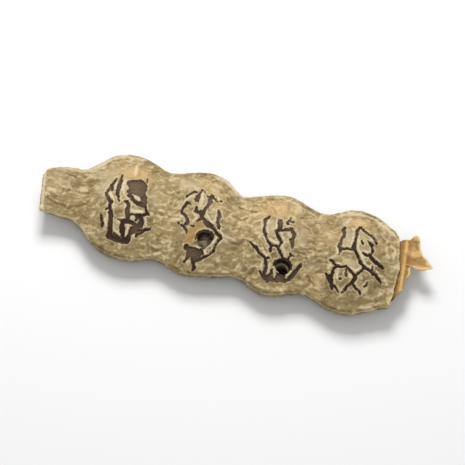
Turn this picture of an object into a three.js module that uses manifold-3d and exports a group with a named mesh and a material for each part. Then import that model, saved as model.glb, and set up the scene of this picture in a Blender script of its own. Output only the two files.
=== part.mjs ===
// A dry babul seed pod, broken off at its neck and torn at its tip, lying on its side.
//
// Millimetres, +Z up. X runs along the pod, from the squared break in the plain neck to the
// tip of the torn lining, Y runs across it from one seam to the other, and Z is its thickness.
// The origin is on the surface that the pod lies on, under the middle of its outline.
//
// The husk is one grown solid: two leathery walls joined along both seams, swollen over four
// seeds, with the papery inner lining standing out of the torn end. Beetles have bored an exit
// hole into the second and third lobes, and the seed of each lies loose in its chamber.

import * as THREE from 'three';
import { mergeVertices } from 'three/addons/utils/BufferGeometryUtils.js';
import Module from 'manifold-3d';

const wasm = await Module();
wasm.setup();

// ---- Driving dimensions ----

const NECK_END = -30.3; // where the neck was broken off
const BREAK_LEAN = 0.23; // the break's slope: its lower corner lies nearer the lobes
const BREAK_LEAN_FADE = 4; // how far along the neck that slope reaches
const TORN_END = 25.4; // where the skin is torn through
const TORN_LEAN = 0.2; // the tear's slope above the middle, which cuts the upper corner back
const TORN_LEAN_FADE = 5;
const FIRST_LOBE = -16.5; // middle of the first seed lobe, along the pod
const LOBE_PITCH = 11.57; // from one seed to the next
const LOBE_COUNT = 4;

const MID_HEIGHT = 2.4; // the seams' height over the surface
const SEAM_THICKNESS = 0.55; // half the husk's thickness beside its seams
const SWELL_TOP = 1.75; // how much each lobe adds above the seams
const SWELL_UNDER = 2; // and below them, before the worn flat it rests on is cut
const SWELL_ALONG = 4.7; // a lobe's swelling, as a half width along the pod
const SWELL_ACROSS = 6.6; // and across it
const SWELL_FLATNESS = 1.4; // over 1, the lobe has a flat crown and steeper flanks
const SWELL_FALL = 0.9;
const EDGE_ROUNDING = 1.8; // the seam's rounding, as a power for each millimetre of half width

const NECK_LIFT = 0.8; // how far the broken neck rises off the surface
const NECK_LIFT_FROM = -21;
const TIP_LIFT = 0.35; // and the torn end
const TIP_LIFT_FROM = 20;

const CHAMBER_GAP = 0.3; // the room round each loose seed
const SEED_ALONG = 3.6; // half sizes of a seed
const SEED_ACROSS = 4.5;
const SEED_THICK = 1.3;

const HUSK_RING_STEPS = 34; // points round the husk
const HUSK_LENGTH_STEPS = 96; // rings along it
const SEED_STEPS = 24;
const SEED_RINGS = 14;
const HOLE_STEPS = 20;
const FLOOR_BLOCK = 90; // larger than the pod, to cut its flats

const HUSK_COLOUR = 0xab946c;
const SEED_COLOUR = 0x5a463a;

// Both seams seen from above, as [along, across]: a notch between each two lobes.
const UPPER_SEAM = [
  [-30.3, 1.9], [-30, 2.75], [-29.3, 3.3], [-27.9, 4.05], [-26.2, 4.35], [-24.6, 4.45],
  [-23.6, 5.15], [-22.4, 6.6], [-21, 7.9], [-19.4, 8.65], [-17.4, 9], [-15.4, 8.65],
  [-13.6, 8], [-12, 7.55], [-10.6, 7.7], [-8.4, 8.35], [-6.4, 8.85], [-4.9, 9], [-3.4, 8.5],
  [-1.8, 7.45], [-0.4, 6.5], [0.5, 6.35], [2, 6.85], [4.2, 7.6], [6.4, 8.1], [8.2, 7.85],
  [10.2, 7.1], [11.8, 6.65], [13.2, 6.8], [15, 7.6], [16.6, 8.25], [18.6, 8.4], [20.6, 8.1],
  [22.2, 7.5], [23.6, 6.95], [24.6, 6.55], [25.4, 5.9],
];
const LOWER_SEAM = [
  [-30.3, -4.15], [-28.6, -4.25], [-26.8, -4.2], [-25, -4.15], [-23.7, -4.3], [-22.4, -5.05],
  [-21, -6.2], [-19.6, -7.3], [-18, -8.1], [-16.4, -8.45], [-14.8, -8.55], [-13.2, -8.3],
  [-11.6, -7.75], [-10.2, -7.35], [-8.6, -7.6], [-7, -8.1], [-5.6, -8.5], [-4, -8.35],
  [-2, -8], [0, -7.5], [1.8, -6.95], [3.4, -7.25], [5.2, -8.1], [6.8, -8.55], [8.8, -8.3],
  [10.8, -7.5], [12.6, -7.05], [14.4, -7.6], [16.4, -8.4], [18.2, -8.6], [20.4, -8.2],
  [22.8, -7.2], [25.4, -6],
];

// The torn tongue of lining, as [along, across], from inside the husk out to its two points.
const LINING_OUTLINE = [
  [22.2, 4.5], [24.2, 5.3], [25.5, 5.25], [26, 5.8], [26.4, 6.35], [26.8, 6.6], [27.1, 6.5],
  [27.4, 6], [27.6, 5.3], [27.9, 4.5], [28.2, 3.7], [28.8, 3.15], [29.3, 2.75], [29.8, 2.05],
  [30.3, 1.5], [30, 1.2], [29.5, 0.9], [28.8, 0.65], [28.2, 0.75], [27.5, 1.05], [27, 1.3],
  [27.05, 0.5], [26.9, -0.3], [26.5, -1.2], [26.8, -2.4], [26.1, -3.8], [25.9, -4.9],
  [22.2, -4.4],
];
const LINING_THICKNESS = 0.6;
const LINING_HEIGHT = 2.45;
const LINING_SLOPE = 0.08; // it rises towards its tip, in radians

// Each bored lobe: which one it is, where its seed and its exit hole lie from the lobe's middle,
// the hole's radius through the husk, and the radius of the bore in the seed, if it has one.
const BORED_LOBES = [
  {
    seedName: 'seed_second_lobe', lobe: 1, seed: [0.5, -1.3],
    hole: [1.5, -3.1], huskHole: 1.34, seedHole: 0,
  },
  {
    seedName: 'seed_third_lobe', lobe: 2, seed: [1.1, -2.2],
    hole: [2.05, -4.2], huskHole: 1.24, seedHole: 0.95,
  },
];

// ---- The husk's shape, as functions of the place along and across it ----

const lobeAt = (index) => FIRST_LOBE + index * LOBE_PITCH;

// A smooth seam through its points: between two of them, a cubic that keeps their mean slopes.
function seamAt(points, x) {
  const last = points.length - 2;
  const i = Math.min(last, Math.max(0, points.findIndex((point) => point[0] > x) - 1));
  const slope = (a, b) => (points[b][1] - points[a][1]) / (points[b][0] - points[a][0]);
  const [x0, y0] = points[i];
  const [x1, y1] = points[i + 1];
  const span = x1 - x0;
  const t = THREE.MathUtils.clamp((x - x0) / span, 0, 1);
  const leave = slope(Math.max(0, i - 1), i + 1) * span;
  const arrive = slope(i, Math.min(last + 1, i + 2)) * span;
  const u = 1 - t;
  return y0 * u * u * (1 + 2 * t) + y1 * t * t * (3 - 2 * t) + leave * t * u * u - arrive * t * t * u;
}

// How far the seeds swell the husk at a place, from 0 beside them to 1 over them.
function swelling(x, y) {
  let total = 0;
  for (let index = 0; index < LOBE_COUNT; index += 1) {
    const along = (x - lobeAt(index)) / SWELL_ALONG;
    const across = y / SWELL_ACROSS;
    total += Math.exp(-SWELL_FALL * (along ** 2 + across ** 2) ** SWELL_FLATNESS);
  }
  return total;
}

// The seams' height, which rises towards both ends.
function midHeight(x) {
  const neck = Math.max(0, (NECK_LIFT_FROM - x) / (NECK_LIFT_FROM - NECK_END));
  const tip = Math.max(0, (x - TIP_LIFT_FROM) / (TORN_END - TIP_LIFT_FROM));
  return MID_HEIGHT + NECK_LIFT * neck ** 2 + TIP_LIFT * tip ** 2;
}

// ---- Solids ----

// Joins a shape's doubled vertices, which keep its seams and edges apart, before it is bent.
function joined(geometry) {
  geometry.deleteAttribute('normal');
  geometry.deleteAttribute('uv');
  return mergeVertices(geometry);
}

function solidOf(geometry) {
  return new wasm.Manifold(new wasm.Mesh({
    numProp: 3,
    vertProperties: new Float32Array(geometry.attributes.position.array),
    triVerts: new Uint32Array(geometry.index.array),
  }));
}

function geometryOf(solid) {
  const { vertProperties, triVerts } = solid.getMesh();
  const geometry = new THREE.BufferGeometry();
  geometry.setAttribute('position', new THREE.BufferAttribute(vertProperties, 3));
  geometry.setIndex(new THREE.BufferAttribute(triVerts, 1));
  geometry.computeVertexNormals();
  return geometry;
}

// A drum laid along X, with each of its rings pulled out to the husk's section there.
function huskBody() {
  const length = TORN_END - NECK_END;
  const drum = joined(new THREE.CylinderGeometry(1, 1, length, HUSK_RING_STEPS, HUSK_LENGTH_STEPS));
  drum.rotateZ(-Math.PI / 2);
  const place = drum.attributes.position;
  for (let i = 0; i < place.count; i += 1) {
    const x = place.getX(i) + (TORN_END + NECK_END) / 2;
    const upper = seamAt(UPPER_SEAM, x);
    const lower = seamAt(LOWER_SEAM, x);
    const halfWidth = (upper - lower) / 2;
    const across = place.getY(i);
    const y = (upper + lower) / 2 + halfWidth * across;
    const round = Math.sqrt(Math.max(0, 1 - Math.abs(across) ** (EDGE_ROUNDING * halfWidth)));
    const side = Math.hypot(across, place.getZ(i)) < 0.5 ? 0 : Math.sign(place.getZ(i));
    const swell = side > 0 ? SWELL_TOP : SWELL_UNDER;
    const half = (SEAM_THICKNESS + swell * swelling(x, y)) * round;
    const broken = BREAK_LEAN * (upper - y) * Math.max(0, 1 - (x - NECK_END) / BREAK_LEAN_FADE);
    const torn = TORN_LEAN * Math.max(0, y) * Math.max(0, 1 - (TORN_END - x) / TORN_LEAN_FADE);
    place.setXYZ(i, x + broken - torn, y, midHeight(x) + side * half);
  }
  return solidOf(drum);
}

function liningTongue() {
  const outline = new THREE.Shape(LINING_OUTLINE.map(([x, y]) => new THREE.Vector2(x, y)));
  const sheet = joined(new THREE.ExtrudeGeometry(outline, { depth: LINING_THICKNESS, bevelEnabled: false }));
  sheet.translate(-TORN_END, 0, 0);
  sheet.rotateY(-LINING_SLOPE);
  sheet.translate(TORN_END, 0, LINING_HEIGHT);
  return solidOf(sheet);
}

function seedBody(extra) {
  const body = joined(new THREE.SphereGeometry(1, SEED_STEPS, SEED_RINGS));
  body.rotateX(Math.PI / 2);
  body.scale(SEED_ALONG + extra, SEED_ACROSS + extra, SEED_THICK + extra);
  return solidOf(body);
}

// A bore straight down from above, with its lower end at a height.
function bore(x, y, radius, bottom) {
  const depth = 2 * MID_HEIGHT;
  const drill = joined(new THREE.CylinderGeometry(radius, radius, depth, HOLE_STEPS));
  drill.rotateX(Math.PI / 2);
  drill.translate(x, y, bottom + depth / 2);
  return solidOf(drill);
}

function seedPlace({ lobe, seed }) {
  return new THREE.Vector3(lobeAt(lobe) + seed[0], seed[1], MID_HEIGHT);
}

// ---- The pod ----

function makeHusk() {
  let husk = huskBody().add(liningTongue());
  for (const bored of BORED_LOBES) {
    const { x, y, z } = seedPlace(bored);
    const chamber = seedBody(CHAMBER_GAP).translate([x, y, z]);
    const exit = bore(lobeAt(bored.lobe) + bored.hole[0], bored.hole[1], bored.huskHole, MID_HEIGHT);
    husk = husk.subtract(chamber).subtract(exit);
  }
  const below = joined(new THREE.BoxGeometry(FLOOR_BLOCK, FLOOR_BLOCK, FLOOR_BLOCK));
  below.translate(0, 0, -FLOOR_BLOCK / 2);
  husk = husk.subtract(solidOf(below));
  const material = new THREE.MeshStandardMaterial({ color: HUSK_COLOUR, roughness: 0.85, metalness: 0 });
  const mesh = new THREE.Mesh(geometryOf(husk), material);
  mesh.name = 'pod_husk';
  return mesh;
}

function makeSeed(bored) {
  let seed = seedBody(0);
  if (bored.seedHole > 0) {
    const [alongSeed, acrossSeed] = [bored.hole[0] - bored.seed[0], bored.hole[1] - bored.seed[1]];
    seed = seed.subtract(bore(alongSeed, acrossSeed, bored.seedHole, 0));
  }
  const material = new THREE.MeshStandardMaterial({ color: SEED_COLOUR, roughness: 0.5, metalness: 0 });
  const mesh = new THREE.Mesh(geometryOf(seed), material);
  mesh.name = bored.seedName;
  mesh.position.copy(seedPlace(bored));
  return mesh;
}

const pod = new THREE.Group();
pod.name = 'babul_pod';
pod.add(makeHusk());
for (const bored of BORED_LOBES) {
  pod.add(makeSeed(bored));
}

export default pod;
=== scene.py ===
import math

import bpy
import numpy as np
from bpy.props import FloatProperty, FloatVectorProperty, PointerProperty
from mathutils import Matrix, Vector, noise


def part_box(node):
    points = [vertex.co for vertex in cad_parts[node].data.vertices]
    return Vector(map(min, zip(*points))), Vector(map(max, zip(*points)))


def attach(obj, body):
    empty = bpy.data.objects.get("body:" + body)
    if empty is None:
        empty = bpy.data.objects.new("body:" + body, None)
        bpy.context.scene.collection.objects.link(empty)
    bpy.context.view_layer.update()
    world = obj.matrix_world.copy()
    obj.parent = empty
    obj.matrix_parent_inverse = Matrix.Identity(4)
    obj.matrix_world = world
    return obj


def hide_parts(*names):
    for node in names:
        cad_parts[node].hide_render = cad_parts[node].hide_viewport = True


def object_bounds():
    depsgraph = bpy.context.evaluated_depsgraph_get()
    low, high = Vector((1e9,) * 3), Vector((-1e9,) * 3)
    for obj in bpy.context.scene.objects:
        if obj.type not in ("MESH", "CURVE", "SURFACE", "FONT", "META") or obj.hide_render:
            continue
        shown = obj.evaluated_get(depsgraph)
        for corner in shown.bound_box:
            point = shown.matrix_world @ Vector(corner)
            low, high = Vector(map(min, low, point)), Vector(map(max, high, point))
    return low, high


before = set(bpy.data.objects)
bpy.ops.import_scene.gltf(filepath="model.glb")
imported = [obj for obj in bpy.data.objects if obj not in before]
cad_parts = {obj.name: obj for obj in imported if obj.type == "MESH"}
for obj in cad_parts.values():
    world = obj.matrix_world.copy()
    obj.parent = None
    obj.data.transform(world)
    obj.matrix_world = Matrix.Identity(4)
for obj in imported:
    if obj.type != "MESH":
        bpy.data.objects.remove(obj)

bl_info = {
    "name": "Babul Pod",
    "version": (1, 0, 0),
    "blender": (4, 5, 0),
    "location": "3D View > Sidebar > Babul Pod",
    "description": "Builds a dry babul seed pod with bored lobes and a torn lining, and its plain stage",
    "category": "Add Mesh",
}

# Lengths in the tables and functions below are millimetres, as the pod is measured: X along it,
# Y across it and Z up. Properties are in metres, as Blender keeps them. MM turns one into the other.
MM = 0.001

CAD_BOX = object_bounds()
HUSK_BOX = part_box("pod_husk")
SEED_BOXES = {"second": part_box("seed_second_lobe"), "third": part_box("seed_third_lobe")}
NECK_END = HUSK_BOX[0].x / MM
TORN_END = 25.4
LOBE_COUNT = 4

# Where the husk starts to rise towards each end, and how its swellings fall off round each seed.
NECK_RISE = -21
TIP_RISE = 20
SWELL_FALL = 0.9
SWELL_POWER = 1.4

# Both seams seen from above, as (along, across): a notch between each two lobes.
UPPER_SEAM = [
    (-30.3, 1.9), (-30, 2.75), (-29.3, 3.3), (-27.9, 4.05), (-26.2, 4.35), (-24.6, 4.45), (-23.6, 5.15),
    (-22.4, 6.6), (-21, 7.9), (-19.4, 8.65), (-17.4, 9), (-15.4, 8.65), (-13.6, 8), (-12, 7.55),
    (-10.6, 7.7), (-8.4, 8.35), (-6.4, 8.85), (-4.9, 9), (-3.4, 8.5), (-1.8, 7.45), (-0.4, 6.5),
    (0.5, 6.35), (2, 6.85), (4.2, 7.6), (6.4, 8.1), (8.2, 7.85), (10.2, 7.1), (11.8, 6.65), (13.2, 6.8),
    (15, 7.6), (16.6, 8.25), (18.6, 8.4), (20.6, 8.1), (22.2, 7.5), (23.6, 6.95), (24.6, 6.55),
    (25.4, 5.9),
]
LOWER_SEAM = [
    (-30.3, -4.15), (-28.6, -4.25), (-26.8, -4.2), (-25, -4.15), (-23.7, -4.3), (-22.4, -5.05),
    (-21, -6.2), (-19.6, -7.3), (-18, -8.1), (-16.4, -8.45), (-14.8, -8.55), (-13.2, -8.3),
    (-11.6, -7.75), (-10.2, -7.35), (-8.6, -7.6), (-7, -8.1), (-5.6, -8.5), (-4, -8.35), (-2, -8),
    (0, -7.5), (1.8, -6.95), (3.4, -7.25), (5.2, -8.1), (6.8, -8.55), (8.8, -8.3), (10.8, -7.5),
    (12.6, -7.05), (14.4, -7.6), (16.4, -8.4), (18.2, -8.6), (20.4, -8.2), (22.8, -7.2), (25.4, -6),
]

# The dried gum that shows through cracks in the skin over each seed, one list for each lobe:
# strokes of (along, across, half width) from the lobe's middle. All the markings are drawn in one
# slanted view from beyond the lower seam, which laid_out() gives.
GUM = [
    [
        [(-2.45, 4.75, .06), (-2.75, 4.1, .18), (-2.9, 3.5, .14), (-3.1, 3.0, .16), (-3.35, 2.4, .2),
         (-3.5, 1.9, .16), (-3.5, 1.5, .2), (-3.15, 1.0, .22), (-2.8, .65, .3), (-2.55, .35, .3),
         (-2.6, -.1, .2), (-2.6, -.5, .22), (-2.35, -1.0, .3), (-2.1, -1.7, .34), (-2.0, -2.4, .34),
         (-1.9, -3.2, .36), (-1.75, -4.0, .36), (-1.65, -4.8, .4), (-1.65, -5.5, .42)],
        [(-2.95, 3.2, .12), (-2.85, 2.5, .17)],
        [(-2.6, -.4, .16), (-2.9, -.8, .12), (-3.2, -1.2, .05)],
        [(-1.8, 5.25, .1), (-1.85, 4.6, .2), (-1.9, 3.9, .25), (-1.95, 3.2, .28), (-1.95, 2.5, .26),
         (-1.85, 1.9, .24), (-1.65, 1.5, .2), (-1.45, 1.0, .14), (-1.4, .75, .05)],
        [(-.55, 4.35, .42), (.3, 4.55, .5), (1.2, 4.75, .5), (1.75, 4.5, .42), (2.1, 4.3, .26)],
        [(.1, 4.2, .8), (.3, 3.4, .7), (.4, 3.0, .5)],
        [(1.2, 4.2, .95), (1.4, 3.4, .85), (1.7, 2.9, .6)],
        [(-.2, 2.9, .4), (.3, 3.0, .4), (1.2, 3.0, .5), (1.85, 2.8, .5), (2.1, 2.3, .46),
         (2.3, 1.7, .46), (2.45, 1.1, .34)],
        [(0, 2.3, .36), (.45, 1.75, .28), (.9, 1.45, .28), (1.35, 1.2, .34), (1.85, 1.15, .36)],
        [(2.6, 1.0, .26), (2.75, .6, .18), (3.0, .2, .16), (3.25, -.1, .24), (3.6, -.35, .1)],
        [(2.05, 5.7, .08), (2.05, 5.2, .13)],
        [(-.5, 1.1, .18), (-.1, 1.0, .28), (.15, .6, .26), (.2, .1, .26), (.1, -.3, .36), (.3, -.9, .36),
         (.5, -1.5, .34), (.55, -2.0, .36)],
        [(.8, -.85, .14), (1.5, -.75, .16), (2.2, -.62, .2), (2.8, -.45, .2), (3.2, -.2, .22)],
        [(1.9, -1.1, .3), (2.4, -.95, .36), (2.6, -1.4, .32), (2.6, -1.9, .4), (2.65, -2.3, .38),
         (2.25, -2.6, .45)],
        [(1.9, -1.6, .3), (2.25, -2.2, .62), (2.0, -2.9, .6), (1.75, -3.5, .45), (1.6, -3.9, .3)],
        [(-.9, -2.1, .1), (-.5, -2.3, .2), (.1, -2.2, .3), (.7, -2.2, .35), (1.3, -2.2, .35),
         (1.8, -2.3, .35)],
        [(-.1, -2.6, .34), (-.05, -3.3, .42), (.1, -4.0, .4), (.3, -4.5, .32), (.4, -4.9, .3)],
        [(1.45, -3.2, .3), (1.35, -4.0, .26), (1.3, -4.8, .34)],
        [(-1.65, -5.4, .46), (-.9, -5.55, .44), (-.3, -5.6, .5), (.4, -5.55, .48), (1.0, -5.5, .54),
         (1.2, -5.2, .42)],
        [(-1.1, -4.6, .14), (-.5, -4.95, .16)],
        [(2.3, -4.5, .12), (2.35, -4.1, .2), (2.7, -3.7, .2), (3.1, -3.4, .22), (3.4, -3.0, .2),
         (3.7, -2.75, .28), (4.0, -2.5, .16), (4.3, -2.15, .05)],
        [(2.3, -3.4, .2), (2.8, -3.1, .16), (3.2, -2.9, .14)],
        [(-3.65, -1.9, .08), (-3.4, -2.5, .17), (-3.2, -3.1, .18), (-3.0, -3.8, .22), (-2.98, -4.05, .12)],
    ],
    [
        [(-3.15, 4.3, .15), (-3.0, 4.7, .15), (-2.6, 5.2, .13), (-2.2, 5.5, .13), (-1.8, 5.5, .07)],
        [(-1.1, 6.1, .05), (-.7, 5.8, .07), (-.3, 5.4, .07), (.05, 5.1, .14)],
        [(-1.15, 6.0, .06), (-1.4, 5.3, .2), (-1.5, 4.7, .36), (-1.6, 4.25, .38), (-1.4, 4.1, .24)],
        [(.5, 5.6, .13), (.45, 5.2, .3), (.35, 4.8, .3), (.5, 4.4, .3), (.35, 4.0, .28), (.25, 3.6, .28),
         (0, 3.1, .22), (-.15, 2.6, .26), (-.2, 2.1, .3), (-.25, 1.6, .28), (-.1, 1.35, .26),
         (.3, 1.15, .25)],
        [(.6, 5.5, .16), (.95, 5.15, .2), (1.35, 4.8, .12), (1.65, 4.75, .06)],
        [(2.0, 4.95, .13), (2.1, 4.9, .13)],
        [(-1.35, 3.0, .13), (-1.35, 2.6, .2), (-1.35, 2.2, .24), (-.9, 2.25, .3), (-.4, 2.4, .34),
         (-.6, 1.95, .24)],
        [(-2.2, 3.1, .1), (-2.5, 3.35, .18), (-2.85, 3.4, .2), (-3.1, 2.7, .2), (-3.35, 2.1, .2),
         (-3.5, 1.6, .2), (-2.8, 1.15, .2), (-2.45, .8, .2), (-2.2, .3, .26), (-2.2, -.1, .26),
         (-2.5, -.35, .2)],
        [(-3.5, -.35, .15), (-3.4, -.45, .15)],
        [(-2.9, -.55, .18), (-2.6, -.8, .24), (-2.2, -1.1, .24), (-2.0, -1.4, .16), (-1.95, -1.7, .08)],
        [(-1.5, -.28, .1), (-1.15, -.25, .16)],
        [(.3, 1.15, .28), (.6, .8, .4), (1.1, .45, .46), (1.5, .3, .38), (1.9, 0, .26), (2.3, -.3, .24),
         (2.7, -.65, .26), (3.1, -.95, .26), (3.32, -1.2, .24), (3.2, -1.55, .2), (3.0, -1.9, .17),
         (2.85, -2.3, .18), (2.7, -2.8, .14), (2.65, -3.3, .14), (2.7, -3.7, .25), (2.4, -4.1, .2),
         (2.2, -4.5, .12), (1.7, -5.0, .24), (1.2, -5.4, .24), (.8, -5.8, .26), (.5, -6.1, .2)],
        [(-.25, 1.3, .2), (-.6, .9, .14), (-.85, .45, .06)],
        [(2.0, 3.2, .16), (2.2, 2.8, .2), (2.4, 2.45, .25), (2.25, 2.0, .22), (2.3, 1.4, .22),
         (2.45, .9, .24), (2.65, .6, .24), (2.7, .3, .18)],
        [(-1.55, -3.85, .3), (-1.5, -4.3, .34), (-1.0, -4.2, .4), (-.4, -4.15, .4), (.2, -4.35, .36),
         (.8, -4.2, .34), (.95, -4.6, .34)],
        [(.85, -3.85, .18), (.9, -4.1, .2)],
        [(-1.0, -4.5, .42), (-.3, -5.0, .6), (0, -5.5, .5)],
        [(.1, -4.5, .5), (.6, -4.9, .5), (.2, -5.6, .4)],
        [(-.95, -4.6, .4), (-.85, -5.4, .36)],
        [(-.85, -5.7, .3), (-1.1, -6.3, .18), (-1.3, -6.8, .12)],
        [(-.4, -2.3, .12), (-.3, -1.6, .2), (.05, -1.05, .2), (.5, -.75, .26), (1.1, -.65, .2),
         (1.6, -.72, .24), (2.05, -1.1, .2), (2.2, -1.7, .12), (1.9, -2.4, .1), (1.5, -3.2, .12),
         (1.15, -3.7, .14)],
        [(-.1, -5.9, .3), (.05, -6.4, .22), (.25, -6.9, .22), (.4, -7.3, .26), (.25, -7.8, .12)],
    ],
    [
        [(-1.85, 4.3, .13), (-2.1, 3.95, .24), (-2.35, 3.5, .26), (-2.3, 3.0, .2), (-2.25, 2.6, .14),
         (-2.3, 2.1, .14), (-2.1, 1.6, .24), (-1.8, 1.1, .26), (-1.6, .65, .12), (-1.4, .3, .08),
         (-1.2, .1, .2), (-.9, -.15, .24), (-.6, -.4, .22), (-.2, -.3, .18), (.2, -.3, .18),
         (.5, -.55, .22), (.8, -1.0, .22), (1.1, -1.5, .22), (1.45, -1.9, .24), (1.6, -2.3, .2)],
        [(-.6, -.5, .13), (-.6, -1.0, .17), (-.6, -1.4, .16), (-.58, -1.65, .05)],
        [(-.1, 4.15, .3), (-.1, 3.7, .38), (.1, 3.2, .34), (.1, 2.8, .3), (0, 2.45, .28),
         (-.35, 2.1, .24), (-.1, 1.6, .24), (.2, 1.2, .24), (.5, .85, .24), (.8, .55, .26),
         (.8, .2, .18), (.62, -.15, .13)],
        [(.2, 2.45, .26), (.7, 2.6, .24), (1.3, 2.85, .24), (1.9, 3.05, .26), (2.1, 2.7, .22),
         (2.4, 2.3, .24), (2.4, 1.8, .22), (2.4, 1.2, .24), (2.42, .7, .26), (2.5, .3, .2),
         (2.6, -.15, .06)],
        [(1.95, 2.9, .2), (1.95, 2.55, .18)],
        [(2.3, 1.3, .2), (2.0, 1.25, .18)],
        [(1.05, 3.85, .24), (1.0, 4.1, .18), (1.25, 4.5, .12), (1.3, 4.95, .08)],
        [(1.5, 4.3, .12), (1.85, 4.3, .2)],
        [(-3.8, -.75, .06), (-3.4, -1.1, .18), (-2.9, -1.35, .26), (-2.6, -1.6, .26), (-2.3, -2.0, .22),
         (-1.8, -2.3, .22), (-1.3, -2.6, .22), (-.95, -2.9, .2), (-.85, -3.3, .22), (-.75, -3.8, .22),
         (-.65, -4.3, .28), (-.6, -4.8, .26), (-.7, -5.3, .24), (-.7, -5.8, .26), (-.4, -6.1, .3),
         (.1, -6.4, .3)],
        [(-.9, -2.85, .2), (-.5, -2.6, .22)],
        [(-1.45, -5.2, .1), (-1.1, -5.6, .16), (-.85, -5.9, .16)],
        [(2.35, -.9, .08), (2.65, -1.2, .24), (3.15, -1.3, .08)],
        [(2.65, -1.4, .2), (2.4, -1.8, .16), (2.2, -2.2, .2)],
        [(4.45, -2.3, .12), (4.3, -2.9, .26), (4.0, -3.6, .28), (3.7, -4.3, .3), (3.4, -5.0, .3),
         (3.1, -5.5, .3), (2.6, -5.9, .3)],
        [(.35, -4.4, .12), (.3, -5.2, .26), (-.1, -5.9, .34), (.6, -5.9, .5), (1.4, -5.7, .6),
         (2.2, -5.7, .5)],
        [(1.3, -5.0, .3), (1.8, -5.1, .4), (2.3, -5.0, .26)],
        [(.4, -3.7, .12), (.6, -3.0, .22), (1.1, -2.45, .26), (1.8, -2.25, .24), (2.5, -2.45, .24),
         (3.0, -3.0, .22), (3.2, -3.7, .12)],
    ],
    [
        [(-1.95, 5.45, .15), (-2.1, 4.95, .24), (-1.85, 4.5, .24), (-1.8, 4.1, .22), (-2.0, 3.6, .2),
         (-2.05, 3.0, .22), (-2.15, 2.4, .24), (-2.2, 2.05, .26), (-1.95, 1.75, .28), (-1.8, 1.4, .18),
         (-1.85, 1.0, .09), (-1.85, .7, .03)],
        [(-2.0, 1.85, .26), (-1.4, 1.85, .2), (-.9, 2.05, .2), (-.4, 2.1, .22), (0, 2.2, .26)],
        [(.25, 6.0, .18), (0, 5.6, .22), (-.05, 5.2, .2), (.05, 4.6, .18), (.05, 4.1, .18),
         (.05, 3.5, .22), (.05, 2.9, .26), (.05, 2.3, .26), (.4, 1.9, .22), (.85, 1.4, .22),
         (1.15, .95, .2), (1.45, .5, .24), (1.75, .1, .26), (2.2, -.35, .24), (2.7, -.6, .2),
         (3.2, -.7, .22), (3.5, -.9, .24), (3.75, -1.2, .24), (4.2, -1.15, .22), (4.4, -1.5, .22),
         (4.9, -1.9, .2), (5.3, -2.4, .08)],
        [(.35, 6.1, .15), (.8, 5.75, .17), (1.3, 5.4, .18), (1.8, 5.2, .18), (2.3, 5.15, .17),
         (2.6, 4.85, .12), (2.95, 4.55, .1), (3.22, 4.2, .22)],
        [(1.85, 4.2, .08), (2.2, 3.95, .18), (2.6, 3.6, .22), (2.85, 3.1, .18), (2.95, 2.7, .2),
         (2.85, 2.3, .18), (2.65, 1.95, .26), (2.9, 1.65, .28), (3.3, 1.25, .3), (3.8, .9, .3),
         (4.3, .65, .28), (4.8, .4, .24), (5.08, .2, .2)],
        [(1.55, 2.0, .14), (1.9, 1.85, .22), (2.3, 1.75, .24), (2.6, 1.9, .22)],
        [(1.0, 3.9, .12), (1.15, 3.65, .2), (1.3, 3.45, .13)],
        [(3.45, .3, .08), (3.5, -.3, .14), (3.55, -.8, .2)],
        [(-2.95, -.5, .24), (-2.6, -.55, .26), (-2.3, -.9, .2), (-1.95, -1.25, .26), (-2.15, -1.7, .22),
         (-2.2, -2.2, .22), (-2.2, -2.7, .26), (-2.3, -3.1, .36), (-2.4, -3.6, .5), (-2.1, -4.2, .3),
         (-1.8, -4.9, .2), (-1.7, -5.5, .06)],
        [(1.3, -2.2, .3), (1.25, -2.8, .32), (1.0, -3.5, .24), (.4, -4.2, .22), (.2, -4.9, .2),
         (-.2, -5.6, .08)],
        [(1.0, -3.5, .22), (1.7, -4.2, .24), (2.3, -4.6, .2), (2.6, -5.2, .08)],
        [(-1.8, -4.6, .2), (-1.2, -4.9, .2), (-.7, -5.6, .08)],
        [(-3.2, -2.95, .16), (-2.9, -3.2, .22), (-2.5, -3.4, .34)],
        [(-1.95, -1.3, .24), (-1.4, -1.2, .18), (-.9, -1.15, .15), (-.5, -.9, .24), (-.1, -1.1, .18),
         (.2, -1.4, .22), (.6, -1.65, .22), (1.0, -2.0, .24), (1.3, -2.15, .26), (1.5, -1.8, .2),
         (1.75, -1.45, .2), (2.0, -1.0, .15), (2.15, -.6, .15)],
        [(-.3, -1.2, .12), (-.25, -1.9, .17), (-.15, -2.5, .22)],
        [(-.85, -3.15, .16), (-.95, -3.3, .14)],
        [(3.3, -2.6, .08), (3.2, -3.2, .2), (2.9, -3.7, .1)],
    ],
]

# Skin left standing inside the gum, in the same strokes.
ISLES = [
    [
        [(.4, 2.55, .1), (1.0, 2.1, .2), (1.6, 1.75, .12)],
        [(.85, -2.8, .14), (.88, -3.5, .2), (.85, -4.3, .18), (.8, -4.75, .08)],
        [(.95, -1.35, .2), (1.2, -1.25, .22)], [(2.1, -1.5, .06), (1.9, -1.95, .12)],
    ],
    [
        [(-.1, -3.4, .14), (.12, -3.7, .22)],
    ],
    [
        [(1.0, -5.05, .18), (.95, -5.6, .2)], [(-.2, -4.7, .1), (-.2, -5.3, .18)],
        [(2.75, -4.95, .1), (2.6, -5.3, .14)],
    ],
    [],
]

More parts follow.
